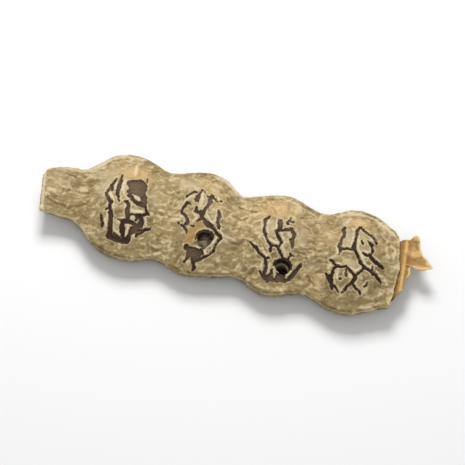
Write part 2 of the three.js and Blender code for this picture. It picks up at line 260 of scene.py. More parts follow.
# Bare cream skin: curled lips, flecks and the worn rims of the exit holes, in the same strokes.
PALE = [
    [
        [(-3.3, 3.5, .06), (-3.75, 2.2, .12), (-3.9, 1.5, .08)],
        [(-2.45, 4.3, .05), (-2.5, 3.4, .12), (-2.5, 2.7, .1)],
        [(-3.0, 1.9, .14), (-2.7, 1.4, .22), (-2.2, .95, .1)],
        [(-1.4, 4.2, .06), (-1.3, 3.4, .17), (-1.05, 2.7, .17), (-.9, 2.2, .1)],
        [(-.45, 1.8, .16), (-.35, 1.7, .16)],
        [(-.5, .5, .12), (-.35, .3, .12)],
        [(-.35, -1.7, .14), (-.3, -1.9, .14)],
        [(-2.2, .1, .1), (-2.05, -.45, .12)],
        [(-2.75, -1.4, .08), (-2.75, -2.6, .12), (-2.55, -3.8, .1)],
        [(.75, -.15, .2), (1.2, -.35, .24), (1.9, -.1, .22), (2.5, .05, .2)],
        [(.1, 1.3, .06), (.45, .95, .12), (.6, .4, .1)],
        [(.95, -1.35, .16), (1.2, -1.25, .18)],
        [(.4, 2.55, .08), (1.0, 2.1, .18), (1.6, 1.75, .1)],
        [(.85, -2.8, .1), (.88, -3.5, .16), (.85, -4.6, .12)],
        [(-1.0, -4.2, .1), (-.5, -4.4, .14), (-.15, -4.65, .2)],
        [(3.15, -.9, .08), (3.2, -1.5, .1), (3.4, -2.1, .12)],
        [(1.85, -4.3, .12), (2.0, -4.7, .12)],
        [(-.02, 7.4, .1), (.05, 6.4, .16), (.05, 5.7, .13)],
    ],
    [
        [(1.25, -4.0, .08), (1.45, -4.2, .18), (1.62, -4.5, .18)],
        [(1.4, -3.75, .06), (1.75, -3.3, .14), (2.15, -2.65, .2), (2.5, -1.9, .18), (2.6, -1.35, .08)],
        [(-.55, -1.6, .04), (-.3, -1.0, .07), (.2, -.55, .07), (.9, -.38, .08), (1.7, -.6, .08)],
        [(-.1, -3.4, .12), (.12, -3.7, .2)],
        [(2.6, .1, .08), (3.1, -.3, .14), (3.6, -.8, .13), (3.65, -1.2, .06)],
        [(3.45, -1.75, .1), (3.2, -2.3, .1)],
        [(-2.9, 4.15, .1), (-3.1, 3.8, .14), (-3.5, 2.9, .08), (-3.85, 2.0, .07)],
        [(-2.8, .35, .16), (-2.7, .2, .16)],
        [(-1.8, 1.85, .06), (-1.4, 1.62, .12), (-.9, 1.45, .12), (-1.25, .6, .1), (-1.5, .35, .14)],
        [(.25, 3.0, .06), (.35, 2.3, .1), (.6, 1.8, .18), (1.2, 1.3, .12), (1.65, 1.15, .16),
         (1.85, 1.8, .08), (1.8, 2.6, .06)],
        [(2.5, 3.3, .06), (2.6, 3.1, .08)],
        [(-.9, 5.5, .05), (-.75, 4.6, .1), (-.9, 2.95, .08)],
        [(-.65, -6.25, .1), (-.72, -6.6, .16), (-.4, -7.0, .06)],
        [(.7, -6.5, .08), (.8, -6.7, .1)],
        [(1.4, 5.4, .1), (1.45, 5.3, .1)],
    ],
    [
        [(-1.8, -1.4, .12), (-1.3, -1.9, .16), (-.9, -2.25, .14)],
        [(-1.1, .65, .1), (-.5, .3, .14), (.1, .25, .22), (.35, .5, .1)],
        [(-.65, 3.9, .07), (-.6, 3.2, .1), (-.45, 2.75, .1)],
        [(1.75, 1.9, .18), (1.6, 2.15, .1)],
        [(.5, 1.9, .12), (.8, 1.45, .08), (1.0, 1.0, .06)],
        [(1.15, .6, .06), (1.05, -.2, .1), (1.6, -1.0, .1), (1.92, -1.5, .14)],
        [(-1.7, 3.8, .05), (-1.85, 3.0, .08), (-1.8, 2.2, .08), (-1.5, 1.5, .06)],
        [(-2.85, 3.3, .08), (-2.75, 2.4, .08)],
        [(-3.2, -.75, .1), (-3.0, -.8, .08)],
        [(-1.5, -3.2, .06), (-1.45, -4.0, .12), (-1.35, -4.8, .13)],
        [(-1.1, -.5, .1), (-.95, -.7, .08)],
        [(-.15, -3.3, .06), (-.15, -4.2, .1), (-.2, -5.2, .16)],
        [(1.0, -5.1, .14), (.95, -5.6, .16)],
        [(3.3, -3.3, .1), (3.25, -4.0, .1), (2.95, -4.7, .1), (2.65, -5.25, .12)],
        [(3.8, -2.1, .06), (3.65, -2.7, .08)],
        [(.75, 3.7, .05), (1.1, 3.4, .08), (1.9, 3.5, .06)],
    ],
    [
        [(-1.5, 2.5, .12), (-1.45, 2.3, .12)],
        [(-.5, 2.7, .1), (-.4, 2.5, .1), (-.45, 3.6, .06), (-.5, 4.8, .05)],
        [(-.7, 5.55, .08), (-.65, 5.3, .08)],
        [(.5, 3.4, .08), (.6, 2.7, .1), (1.0, 2.1, .12), (1.5, 1.4, .14), (2.0, .7, .12), (2.5, .15, .1)],
        [(2.0, 4.65, .06), (2.5, 4.35, .1), (2.9, 4.1, .06)],
        [(1.9, 2.5, .1), (2.3, 2.3, .1)],
        [(2.75, 5.5, .1), (3.05, 4.95, .1)],
        [(-2.0, -.75, .1), (-1.65, -.8, .14), (-1.0, -.85, .1)],
        [(.1, -.9, .1), (.6, -1.15, .18), (1.0, -1.35, .16), (1.5, -.9, .14), (1.7, -.4, .14)],
        [(-1.6, -1.8, .1), (-1.45, -2.8, .1), (-1.3, -3.4, .08)],
        [(.4, -2.1, .1), (.5, -2.65, .2)],
        [(2.1, -2.1, .12), (2.2, -2.3, .12)],
        [(4.25, -.5, .13), (4.35, -.6, .13)],
        [(-2.7, -1.35, .14), (-2.75, -1.5, .12)],
        [(-2.75, -2.45, .12), (-2.7, -2.6, .1)],
        [(-2.5, 1.6, .05), (-2.15, .95, .1), (-2.4, .3, .1), (-3.0, 0, .06)],
        [(3.2, 1.95, .06), (3.7, 1.5, .08), (4.5, 1.05, .06)],
        [(-1.9, 6.3, .06), (-1.6, 7.0, .1), (-1.4, 7.2, .08)],
    ],
]

# Where the skin is worn through to a golden layer, in the same strokes.
WORN = [
    [
        [(.6, 6.9, .1), (.6, 6.0, .16)],
        [(-1.1, 5.15, .02), (0, 5.2, .1), (1.0, 5.3, .14), (2.0, 5.15, .12), (2.5, 4.9, .02)],
    ],
    [
        [(-1.3, -3.1, .5), (-1.35, -2.2, .66), (-1.2, -1.3, .66), (-.6, -.6, .55), (.2, -.2, .45),
         (1.1, -.3, .3)],
        [(-1.0, .1, .3), (-.4, .6, .36), (0, .2, .4)], [(-.6, 1.1, .2), (-.5, 1.5, .1)],
    ],
    [],
    [],
]

# Dull spots on the skin, in the same strokes.
SPOTS = [
    [
        [(.65, 7.4, .14), (.7, 7.3, .14)], [(-3.95, 0, .2), (-3.9, -.4, .25)],
        [(1.3, -6.6, .1), (1.25, -6.9, .2)], [(4.2, -5.1, .2), (4.9, -4.9, .2)],
        [(5.0, -5.5, .15), (5.1, -5.9, .15)], [(-2.6, -6.2, .2), (-2.5, -6.4, .2)],
        [(3.2, 2.6, .2), (3.7, 2.2, .15)], [(3.3, .7, .1), (3.9, .6, .1)],
        [(2.6, -6.6, .15), (3.0, -6.1, .1)], [(-3.0, 7.5, .15), (-2.8, 7.5, .15)],
        [(-4.4, 6.6, .2), (-4.1, 6.8, .15)],
    ],
    [
        [(3.7, -.15, .15), (4.0, -.25, .18)], [(4.8, 5.1, .15), (4.85, 4.9, .15)],
        [(2.75, 3.55, .16), (2.85, 3.5, .16)], [(-3.45, 5.5, .16), (-3.3, 5.4, .16)],
        [(2.9, -7.6, .15), (3.1, -7.55, .15)], [(-2.35, -3.3, .16), (-2.3, -3.5, .16)],
        [(3.5, -3.8, .1), (4.1, -4.4, .16), (4.5, -4.8, .12)], [(4.0, -2.1, .2), (5.2, -1.9, .15)],
        [(.6, 2.95, .14), (.8, 2.8, .18)], [(-1.5, 1.0, .15), (-1.4, 1.1, .15)],
        [(-2.2, -1.9, .1), (-2.2, -2.4, .12)], [(-3.6, 7.3, .2), (-3.2, 7.1, .2)],
        [(-2.2, 2.8, .08), (-2.3, 2.4, .1)],
    ],
    [
        [(-3.4, 6.4, .2), (-3.0, 6.5, .2)], [(.55, 6.7, .08), (.8, 6.3, .1)],
        [(.3, 7.5, .15), (.35, 7.4, .15)], [(4.0, 2.8, .2), (4.3, 2.6, .2)],
        [(-2.35, -5.1, .12), (-2.55, -5.8, .18)], [(-2.6, -3.9, .15), (-2.5, -4.0, .15)],
        [(1.65, -.2, .14), (1.65, -.6, .18)], [(4.65, -4.6, .15), (4.8, -4.8, .15)],
        [(4.4, -1.5, .1), (4.8, -1.7, .1)], [(-4.4, 5.6, .16), (-4.2, 5.6, .16)],
        [(-1.9, 5.9, .06), (-1.4, 5.6, .08), (-1.0, 5.2, .06)], [(-1.3, 2.2, .12), (-.9, 1.3, .12)],
        [(-1.8, -.6, .12), (-1.5, -1.1, .15)], [(3.4, 6.1, .12), (3.5, 5.8, .12)],
    ],
    [
        [(-3.95, 6.0, .14), (-3.85, 5.9, .14)], [(-1.3, 7.6, .16), (-.85, 7.55, .16)],
        [(-2.8, 6.5, .15), (-2.5, 6.3, .12)], [(4.1, 5.0, .2), (4.3, 4.8, .2)],
        [(-1.5, -.2, .16), (-1.35, -.3, .16)], [(-3.5, 1.4, .2), (-3.0, 1.1, .2)],
        [(.3, .8, .08), (.6, .2, .1), (.75, -.4, .08)], [(-.8, 6.05, .12), (-.6, 6.0, .12)],
        [(2.6, 7.0, .2), (2.9, 6.7, .2)], [(.3, 7.75, .1), (.6, 7.6, .1)],
        [(2.6, .6, .15), (2.8, .4, .15)], [(4.6, -.3, .14), (5.1, -.7, .1)],
    ],
]

# Painted highlights where light catches the edges most, as (along the pod, across, half width).
RIM_HIGHLIGHTS = [
    [(-29.9, 2.4, .06), (-29.72, 0, .1), (-29.5, -2.0, .12), (-29.35, -3.6, .1)],
    [(-29.3, -3.72, .1), (-28.0, -3.84, .12), (-25.0, -3.86, .14), (-24.2, -4.1, .18), (-23.2, -4.8, .2),
     (-22.3, -5.62, .2), (-21.6, -6.42, .2), (-20.9, -7.2, .18), (-20.0, -7.9, .14), (-18.8, -8.5, .06)],
    [(-28.4, 3.75, .08), (-26.8, 4.25, .12), (-24.8, 4.25, .08), (-23.8, 4.6, .14), (-22.8, 5.4, .18),
     (-21.8, 6.45, .18), (-20.9, 7.4, .16), (-19.6, 8.15, .14), (-18.0, 8.6, .1), (-16.0, 8.7, .05)],
    [(-11.2, -7.5, .04), (-9.7, -7.75, .1), (-8.2, -8.25, .06)],
    [(-5.4, 8.8, .04), (-4.2, 8.65, .12), (-3.0, 8.25, .18), (-2.0, 7.6, .2), (-1.0, 6.85, .16),
     (.2, 6.35, .08)],
    [(2.6, 7.2, .03), (5.6, 8.0, .08), (8.6, 7.3, .08), (11.4, 6.2, .03)],
    [(14.4, 7.0, .08), (16.0, 7.95, .14), (17.4, 8.2, .16), (19.0, 8.2, .08), (20.2, 8.05, .1),
     (21.4, 7.4, .16), (22.8, 6.7, .15), (23.8, 6.0, .06)],
]

# Long creases in the dry skin, as (along the pod, across, half width).
CREASES = [
    [(-13.4, .35, .08), (-11.6, .5, .16), (-10.2, .35, .14), (-8.9, .55, .06)],
    [(-29.0, -1.5, .05), (-27.2, -1.9, .14), (-25.4, -2.2, .2), (-24.2, -1.6, .2), (-23.0, -1.0, .14),
     (-22.4, .1, .08)],
    [(-27.0, 3.3, .12), (-25.4, 3.1, .22), (-24.0, 3.4, .12)],
    [(-26.7, .5, .22), (-26.2, .6, .2)],
    [(-25.2, .7, .1), (-23.6, .8, .22), (-22.9, 1.1, .08)],
    [(-1.9, -.8, .08), (-.4, -1.3, .2), (.7, -1.7, .15), (1.6, -.8, .12), (2.6, -1.0, .06)],
    [(-1.0, 2.9, .08), (.4, 2.5, .15), (1.2, 3.0, .08)],
    [(9.4, -.3, .08), (10.6, -.5, .18), (11.6, -1.5, .16), (12.4, -2.1, .14), (13.2, -1.3, .1),
     (14.6, -1.1, .1)],
    [(9.2, .6, .06), (10.8, .35, .12), (12.4, .6, .06)],
    [(11.9, -4.4, .1), (13.0, -4.9, .18), (14.2, -5.4, .08)],
    [(-12.4, -5.4, .12), (-11.2, -6.0, .2), (-10.0, -5.6, .08)],
    [(-.2, 4.6, .08), (1.6, 4.2, .14), (2.8, 4.8, .08)],
    [(3.95, -5.1, .1), (3.8, -5.9, .16)],
    [(22.9, 4.6, .08), (23.6, 3.2, .2), (23.9, 1.8, .1)],
]

# The warm buff blush, mostly near the upper seam of each lobe: soft patches of (along the pod,
# across, radius along, radius across, strength).
BLUSH = [
    (-16.6, 6.1, 2.6, 1.2, 1.0), (-14.7, 5.2, 1.1, 1.0, .6), (-5.6, 6.8, 1.2, 1.2, .7),
    (-3.4, 4.6, 1.2, 1.4, .3), (1.4, 3.9, 1.8, 1.6, .4), (5.6, 5.9, 2.6, 1.3, 1.0),
    (3.6, 4.9, 1.3, 1.1, .7), (8.2, 5.0, 1.2, 1.6, .5), (17.9, 6.7, 1.6, 1.0, 1.0),
    (16.3, 6.3, .9, .9, .5), (14.2, 3.8, 1.6, 1.8, .4), (22.0, 3.4, 1.0, 1.2, .3),
    (10.8, -3.6, 1.8, 1.2, .3), (14.0, -3.6, 1.4, 1.0, .5),
]

# Where the gum itself has faded to a dusty brown, in the same patches.
FADED = [
    (-16.0, 3.8, 2.0, 1.8, 1.0), (-14.5, 2.0, .7, 1.2, .7), (-18.6, 3.8, .6, 2.0, .6),
    (-17.2, -5.5, 2.4, .6, .15), (-20.0, 2.0, .8, 1.6, .8), (-18.8, -2.6, .6, 2.0, .25),
    (-16.6, -.2, .6, 1.6, .5), (-14.8, -3.0, 1.0, 1.6, .6), (-5.0, 4.2, 2.4, 1.6, .8),
    (-7.6, 1.2, .9, 2.4, .6), (-2.9, 1.9, .6, 1.6, .9), (-4.9, 1.0, .9, .8, .6),
    (-5.4, -5.0, 1.5, 1.1, .8), (-4.6, -1.0, 1.6, .6, .4), (6.3, 3.9, .8, .9, .8),
    (4.2, 3.0, .9, 1.6, .7), (8.7, 1.6, .6, 1.8, .8), (7.8, 3.4, 1.4, 1.0, .5), (7.6, -5.7, 2.0, .9, .8),
    (10.0, -4.4, 1.0, 1.6, .3), (5.8, -4.6, .6, 1.0, .35), (15.9, 3.6, .6, 2.2, .8),
    (19.2, 5.2, 1.8, .9, .8), (17.9, 3.4, .5, 2.2, .1), (7.8, 4.5, 1.1, .8, 1.0),
    (17.8, -2.0, .4, .7, .7), (21.5, -.2, .5, .7, .5),
]

# Ashen skin between the marks, in the same patches.
ASHEN = [
    (-5.8, 4.0, 1.4, 1.2, .5), (-3.8, 2.6, .9, 1.6, .4), (-18.1, 3.3, .9, 1.6, .4),
    (-15.5, -.6, 1.2, .7, .3), (5.4, 2.5, .7, 1.6, .8), (7.6, 1.6, .7, 1.2, .4), (17.0, 3.8, .7, 1.5, .8),
    (-17.4, -3.2, .8, 1.6, .15), (19.6, 2.6, .8, 1.4, .3), (-28.0, 2.0, 1.6, 1.6, .4),
    (-20.9, 2.4, .9, 1.6, .7), (-21.0, 5.0, 1.8, 1.2, .5), (-8.4, 6.4, 1.6, 1.0, .7),
    (-1.2, -1.0, .9, .9, .7), (18.0, -.2, 1.0, .7, .8), (18.8, 5.0, .8, .5, .5),
    (-13.0, 2.6, 1.0, 1.8, .45), (9.9, 2.4, 1.0, 1.8, .5), (15.9, 6.3, .9, .7, .5),
    (12.2, -2.0, .9, 1.2, .3), (-9.4, -.2, 1.0, 1.4, .2),
]

# Duller, more olive areas, in the same patches.
DULL = [
    (-2.4, -4.8, 2.4, 2.8, .5), (22.4, -1.0, 2.6, 4.5, .45), (19.5, -6.2, 4.0, 2.4, .3),
    (-11.2, 5.6, 2.0, 2.6, .3), (1.0, -4.6, 2.4, 3.0, .35), (12.6, -5.4, 1.8, 2.0, .1),
    (-11.2, -5.6, 2.0, 2.0, .2), (22.8, 3.2, 1.8, 3.0, .5), (-25.8, -1.8, 3.0, 1.6, .3),
    (-1.8, 1.6, 1.4, 2.6, .2), (-16.5, -7.0, 3.4, 1.4, .3), (18.1, 1.1, 1.2, .7, .8),
    (4.0, 3.0, .8, 1.6, .2), (-24.4, 2.0, 1.6, 1.2, .2), (14.8, -1.6, .9, 1.3, .5),
    (10.4, 3.2, .8, 1.0, .2),
]

# Each exit hole through the husk, by the lobe it is in, and the bore in the third lobe's seed:
# (along, across, radius along, radius across, how much wider it grows towards the upper seam).
HOLES = {
    "second": (-3.43, -3.1, 1.1, 1.34, .3),
    "third": (8.8, -4.22, 1.22, 1.1, 0),
}
SEED_BORE = (8.7, -4.45, .9, .8, 0)

# The slanted view that the markings are drawn in: where it puts the pod, how it turns, bows and
# stretches it, and how far a raised place slides in it.
VIEW_SHIFT = -0.385
VIEW_BOW, VIEW_BOW_MIDDLE = 0.00057, -2
VIEW_TURN, VIEW_TURN_ALONG = 0.056, -0.0021
VIEW_STRETCH, VIEW_STRETCH_ALONG, VIEW_STRETCH_ACROSS = 1.024, 0.0006, -0.0029
VIEW_SLIDE, VIEW_SLIDE_ALONG, VIEW_SLIDE_ACROSS = -0.11, 0.0042, 0.526
# How far each lobe's marks lie from its seed's middle, half the size of the oval they fill, and
# how far they and the creases stray from their strokes. FAR is out of every mark's reach.
LOBE_MARKS_SHIFT = -0.25
MARKED_ALONG = 3.8
MARKED_ACROSS = 6.2
MARK_WANDER = 0.08
CREASE_WANDER = 0.35
FAR = 9.0


# ---- Measures of the pod, as arrays of places along x and across y ----


def seam_at(points, x):
    """A smooth seam through its points, as the CAD husk has it."""
    px, py = np.array(points, float).T
    slope = np.empty(len(px))
    slope[1:-1] = (py[2:] - py[:-2]) / (px[2:] - px[:-2])
    slope[0] = (py[1] - py[0]) / (px[1] - px[0])
    slope[-1] = (py[-1] - py[-2]) / (px[-1] - px[-2])
    i = np.clip(np.searchsorted(px, x, side="right") - 1, 0, len(px) - 2)
    span = px[i + 1] - px[i]
    t = np.clip((x - px[i]) / span, 0, 1)
    u = 1 - t
    ends = py[i] * u * u * (1 + 2 * t) + py[i + 1] * t * t * (3 - 2 * t)
    return ends + span * (slope[i] * t * u * u - slope[i + 1] * t * t * u)


def spread(low, high, count, weight):
    """This many places from low to high, packed closer where the weight is larger."""
    fine = np.linspace(low, high, 4001)
    total = np.concatenate([[0], np.cumsum(weight((fine[1:] + fine[:-1]) / 2))])
    return np.interp(np.linspace(0, total[-1], count), total, fine)


def step(low, high, value):
    """0 below low, 1 above high, and smooth between."""
    t = np.clip((value - low) / (high - low), 0, 1)
    return t * t * (3 - 2 * t)


def ridge(value, middle, width):
    """A smooth ridge, 1 at the middle."""
    return np.exp(-(((value - middle) / width) ** 2))


def lobe_middles(husk):
    """Where each seed lies along the pod."""
    return [(husk.first_lobe + i * husk.lobe_pitch) / MM for i in range(LOBE_COUNT)]


def swelling(husk, x, y):
    """How far the seeds swell the husk: 0 beside them and 1 over them."""
    total = np.zeros_like(x)
    for middle in lobe_middles(husk):
        reach = ((x - middle) / (husk.swell_along / MM)) ** 2 + (y / (husk.swell_across / MM)) ** 2
        total += np.exp(-SWELL_FALL * reach ** SWELL_POWER)
    return total


def mid_height(husk, x):
    """The seams' height, which rises towards both ends."""
    neck = np.clip((NECK_RISE - x) / (NECK_RISE - NECK_END), 0, None) ** 2
    tip = np.clip((x - TIP_RISE) / (TORN_END - TIP_RISE), 0, None) ** 2
    return (husk.mid_height + husk.neck_lift * neck + husk.tip_lift * tip) / MM


def grain(places, size, octaves=3, seed=0.0):
    """Smooth noise about -1 to 1 at each place, with features of this size, a number or (x, y, z)."""
    scaled = places / np.broadcast_to(np.array(size, float), (3,)) + seed
    return np.array([noise.fractal(Vector(p), 1.0, 2.0, octaves) for p in scaled])


def stroke_distance(x, y, strokes):
    """Distance to the nearest stroke's edge, less than 0 inside it."""
    nearest = np.full(len(x), FAR)
    for stroke in strokes:
        for (x0, y0, r0), (x1, y1, r1) in zip(stroke, stroke[1:]):
            dx, dy = x1 - x0, y1 - y0
            t = np.clip(((x - x0) * dx + (y - y0) * dy) / (dx * dx + dy * dy), 0, 1)
            away = np.hypot(x - x0 - t * dx, y - y0 - t * dy)
            nearest = np.minimum(nearest, away - (r0 + t * (r1 - r0)))
    return nearest


def soft_patches(x, y, patches):
    """How deep each place lies in the nearest soft-edged patch, from 0 to 1."""
    most = np.zeros(len(x))
    for middle_x, middle_y, radius_x, radius_y, strength in patches:
        here = np.exp(-(((x - middle_x) / radius_x) ** 2) - ((y - middle_y) / radius_y) ** 2)
        most = np.maximum(most, strength * here)
    return most


def laid_out(husk, places):
    """Places as (along, across) in the slanted view that the markings are drawn in."""
    x, y = places[:, 0], places[:, 1]
    lift = mid_height(husk, x) - husk.mid_height / MM
    rise = lift + (husk.seam_half + husk.swell_top * swelling(husk, x, y)) / MM
    along = x + VIEW_SHIFT + VIEW_BOW * (x - VIEW_BOW_MIDDLE) ** 2
    along += (VIEW_TURN + VIEW_TURN_ALONG * x) * y + (VIEW_SLIDE + VIEW_SLIDE_ALONG * x) * rise
    across = (VIEW_STRETCH + VIEW_STRETCH_ALONG * x + VIEW_STRETCH_ACROSS * y) * y
    return along, across + VIEW_SLIDE_ACROSS * rise


def on_lobes(husk, x, y, upper, patterns):
    """Distance to each lobe's own strokes. The lower wall wears them too, turned end for end."""
    nearest = np.full(len(x), FAR)
    for side, on_side in ((1, upper), (-1, ~upper)):
        for lobe, middle in enumerate(np.array(lobe_middles(husk)) + LOBE_MARKS_SHIFT):
            here = on_side & (np.abs(x - middle) < 0.75 * husk.lobe_pitch / MM)
            pattern = patterns[lobe if side > 0 else LOBE_COUNT - 1 - lobe]
            found = stroke_distance(side * (x[here] - middle), y[here], pattern)
            nearest[here] = np.minimum(nearest[here], found)
    return nearest


def markings(husk, places, upper):
    """Distances to the gum, the bare cream skin, the worn skin, the dull spots and the creases."""
    x, y = laid_out(husk, places)
    x = x + MARK_WANDER * grain(places, 0.6, 3, 3.1)
    y = y + MARK_WANDER * grain(places, 0.6, 3, 7.7)
    gum = on_lobes(husk, x, y, upper, GUM)
    gum = np.maximum(gum, -on_lobes(husk, x, y, upper, ISLES))
    pale = on_lobes(husk, x, y, upper, PALE)
    worn = on_lobes(husk, x, y, upper, WORN)
    spot = on_lobes(husk, x, y, upper, SPOTS)
    wander = CREASE_WANDER * grain(places, 1.2, 3, 13.0)
    crease = stroke_distance(x + wander, y + wander, CREASES)
    return gum, pale, worn, spot, crease


# ---- Modelling helpers ----


def start_clean():
    """Leaves nothing selected, so that an operator acts on the new piece alone."""
    if bpy.context.object and bpy.context.object.mode != "OBJECT":
        bpy.ops.object.mode_set(mode="OBJECT")
    bpy.ops.object.select_all(action="DESELECT")


def only(piece):
    """Selects this piece alone."""
    start_clean()
    piece.select_set(True)
    bpy.context.view_layer.objects.active = piece


def edit(piece, *actions):
    """Runs edit mode operators on all of a piece."""
    only(piece)
    bpy.ops.object.mode_set(mode="EDIT")
    bpy.ops.mesh.select_all(action="SELECT")
    for action in actions:
        action()
    bpy.ops.object.mode_set(mode="OBJECT")


def places_of(piece):
    """A piece's vertices, in millimetres."""
    flat = np.empty(len(piece.data.vertices) * 3)
    piece.data.vertices.foreach_get("co", flat)
    return flat.reshape(-1, 3) / MM


def put(piece, places):
    """Moves a piece's vertices to these places, in millimetres."""
    piece.data.vertices.foreach_set("co", (places * MM).ravel())
    piece.data.update()


def normals_of(piece):
    """The outward direction at each vertex."""
    flat = np.empty(len(piece.data.vertices) * 3)
    piece.data.vertices.foreach_get("normal", flat)
    return flat.reshape(-1, 3)


def keep_value(piece, name, values):
    """Stores one number at each vertex, for the materials to read."""
    layer = piece.data.attributes.get(name) or piece.data.attributes.new(name, "FLOAT", "POINT")
    layer.data.foreach_set("value", np.asarray(values, np.float32))


def value_of(piece, name):
    """Reads back what keep_value() stored."""
    values = np.empty(len(piece.data.vertices), np.float32)
    piece.data.attributes[name].data.foreach_get("value", values)
    return values


def new_grid(name, across, along):
    """A flat sheet, with each vertex's own place in it as two whole numbers."""
    start_clean()
    bpy.ops.mesh.primitive_grid_add(x_subdivisions=across, y_subdivisions=along, size=1)
    piece = bpy.context.object
    piece.name = piece.data.name = name
    flat = places_of(piece) * MM + 0.5
    return piece, np.rint(flat[:, 0] * across).astype(int), np.rint(flat[:, 1] * along).astype(int)


def cut(piece, cutter):
    """Takes the cutter's space out of a piece. The new walls keep the cutter's material."""
    only(piece)
    modifier = piece.modifiers.new("Cut", "BOOLEAN")
    modifier.operation = "DIFFERENCE"
    modifier.solver = "EXACT"
    modifier.material_mode = "TRANSFER"
    modifier.object = cutter
    bpy.ops.object.modifier_apply(modifier="Cut")
    bpy.data.objects.remove(cutter)


def hand_over(piece, node):
    """Sets the finished piece in the frame in its CAD node's place."""
    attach(piece, "root")
    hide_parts(node)
    start_clean()


# ---- Material helpers ----


class Wiring:
    """Adds nodes to one tree, each with its inputs given as values or as other sockets."""

    def __init__(self, tree):
        self.tree = tree

    def add(self, kind, inputs=None, **settings):
        node = self.tree.nodes.new(kind if kind.startswith("Node") else "ShaderNode" + kind)
        for name, value in settings.items():
            setattr(node, name, value)
        for name, value in (inputs or {}).items():
            if isinstance(value, bpy.types.NodeSocket):
                self.tree.links.new(value, node.inputs[name])
            else:
                node.inputs[name].default_value = value
        return node

    def math(self, operation, a, b=0.0, clamp=False):
        return self.add("Math", {0: a, 1: b}, operation=operation, use_clamp=clamp).outputs[0]

    def mix(self, amount, a, b, blend="MIX"):
        return self.add("Mix", {0: amount, 6: a, 7: b}, data_type="RGBA", blend_type=blend).outputs[2]

    def band(self, value, low, high, start=0.0, end=1.0):
        """start below low, end above high, and smooth between."""
        inputs = {0: value, 1: low, 2: high, 3: start, 4: end}
        return self.add("MapRange", inputs, interpolation_type="SMOOTHSTEP").outputs[0]

    def stored(self, name):
        return self.add("Attribute", attribute_name=name).outputs["Fac"]

    def noise(self, vector, scale, detail=3.0, roughness=0.55, distortion=0.0):
        inputs = {"Vector": vector, "Scale": scale, "Detail": detail}
        inputs.update({"Roughness": roughness, "Distortion": distortion})
        return self.add("TexNoise", inputs).outputs["Fac"]

    def stretched(self, vector, scale, degrees=0.0):
        """The same places turned about Z and stretched, for a pattern with a direction."""
        inputs = {"Vector": vector, "Rotation": (0, 0, math.radians(degrees)), "Scale": scale}
        return self.add("Mapping", inputs).outputs[0]


def opaque(colour):
    return (*colour, 1.0)


def shaded(colour, share):
    """A colour at a share of its brightness."""
    return tuple(share * part for part in colour)


def grey(level):
    return (level, level, level, 1.0)


def new_material(name):
    material = bpy.data.materials.new(name)
    material.use_nodes = True
    material.node_tree.nodes.clear()
    return material, Wiring(material.node_tree)


def new_group(name, inputs, outputs):
    """A shader node group with these named sockets, as (name, kind, value)."""
    group = bpy.data.node_groups.new(name, "ShaderNodeTree")
    for label, kind, value in inputs:
        socket = group.interface.new_socket(name=label, in_out="INPUT", socket_type="NodeSocket" + kind)
        socket.default_value = value
    for label, kind in outputs:
        group.interface.new_socket(name=label, in_out="OUTPUT", socket_type="NodeSocket" + kind)
    wiring = Wiring(group)
    return group, wiring, wiring.add("NodeGroupInput"), wiring.add("NodeGroupOutput")


def place_group(wiring, group, inputs):
    return wiring.add("Group", inputs, node_tree=group).outputs


def millimetres(wiring):
    """Object coordinates, counted in millimetres."""
    here = wiring.add("TexCoord").outputs["Object"]
    return wiring.add("VectorMath", {0: here, 3: 1 / MM}, operation="SCALE").outputs[0]


def mottle_group():
    """Soft patches, crumpled streaks and fine specks of colour, for all that dried on the tree."""
    group, w, given, made = new_group(
        "Mottle",
        [("Vector", "Vector", (0, 0, 0)), ("Patch Size", "Float", 2.0), ("Speck Size", "Float", 0.3)],
        [("Patches", "Float"), ("Streaks", "Float"), ("Specks", "Float")],
    )
    here = given.outputs["Vector"]
    patch_scale = w.math("DIVIDE", 1.0, given.outputs["Patch Size"])
    patches = w.noise(here, patch_scale, 5.0, 0.62, 0.3)
    turned = w.stretched(here, (0.55, 1.2, 1), 38)
    streaks = w.noise(turned, w.math("MULTIPLY", patch_scale, 2.2), 4.0, 0.6, 0.5)
    specks = w.noise(here, w.math("DIVIDE", 1.0, given.outputs["Speck Size"]), 2.0, 0.5)
    w.tree.links.new(w.band(patches, 0.38, 0.62), made.inputs["Patches"])
    w.tree.links.new(w.band(streaks, 0.4, 0.62), made.inputs["Streaks"])
    w.tree.links.new(w.band(specks, 0.56, 0.72), made.inputs["Specks"])
    return group


def tooth_group():
    """The fine tooth of a dry surface, as a height and a normal."""
    group, w, given, made = new_group(
        "Dry Tooth",
        [("Vector", "Vector", (0, 0, 0)), ("Size", "Float", 0.3), ("Strength", "Float", 0.5)],
        [("Height", "Float"), ("Normal", "Vector")],
    )
    here = given.outputs["Vector"]
    scale = w.math("DIVIDE", 1.0, given.outputs["Size"])
    coarse = w.noise(here, scale, 4.0, 0.6)
    turned = w.stretched(here, (0.5, 1.3, 1), 30)
    fibres = w.noise(turned, w.math("MULTIPLY", scale, 1.7), 2.0, 0.5)
    height = w.math("ADD", w.math("MULTIPLY", coarse, 0.65), w.math("MULTIPLY", fibres, 0.35))
    bump = w.add("Bump", {"Strength": given.outputs["Strength"], "Distance": 0.15 * MM, "Height": height})
    w.tree.links.new(height, made.inputs["Height"])
    w.tree.links.new(bump.outputs[0], made.inputs["Normal"])
    return group


def shared_groups():
    """The mottle and the tooth that every finish uses, built when they are first needed."""
    groups = bpy.data.node_groups
    return groups.get("Mottle") or mottle_group(), groups.get("Dry Tooth") or tooth_group()


def finish_material(material, w, colour, roughness, normal, specular):
    """Joins a finish to its shader. The specular level is the same all over."""
    inputs = {"Base Color": colour, "Roughness": roughness, "Normal": normal, "Specular IOR Level": specular}
    surface = w.add("BsdfPrincipled", inputs)
    w.add("OutputMaterial", {"Surface": surface.outputs[0]})
    return material


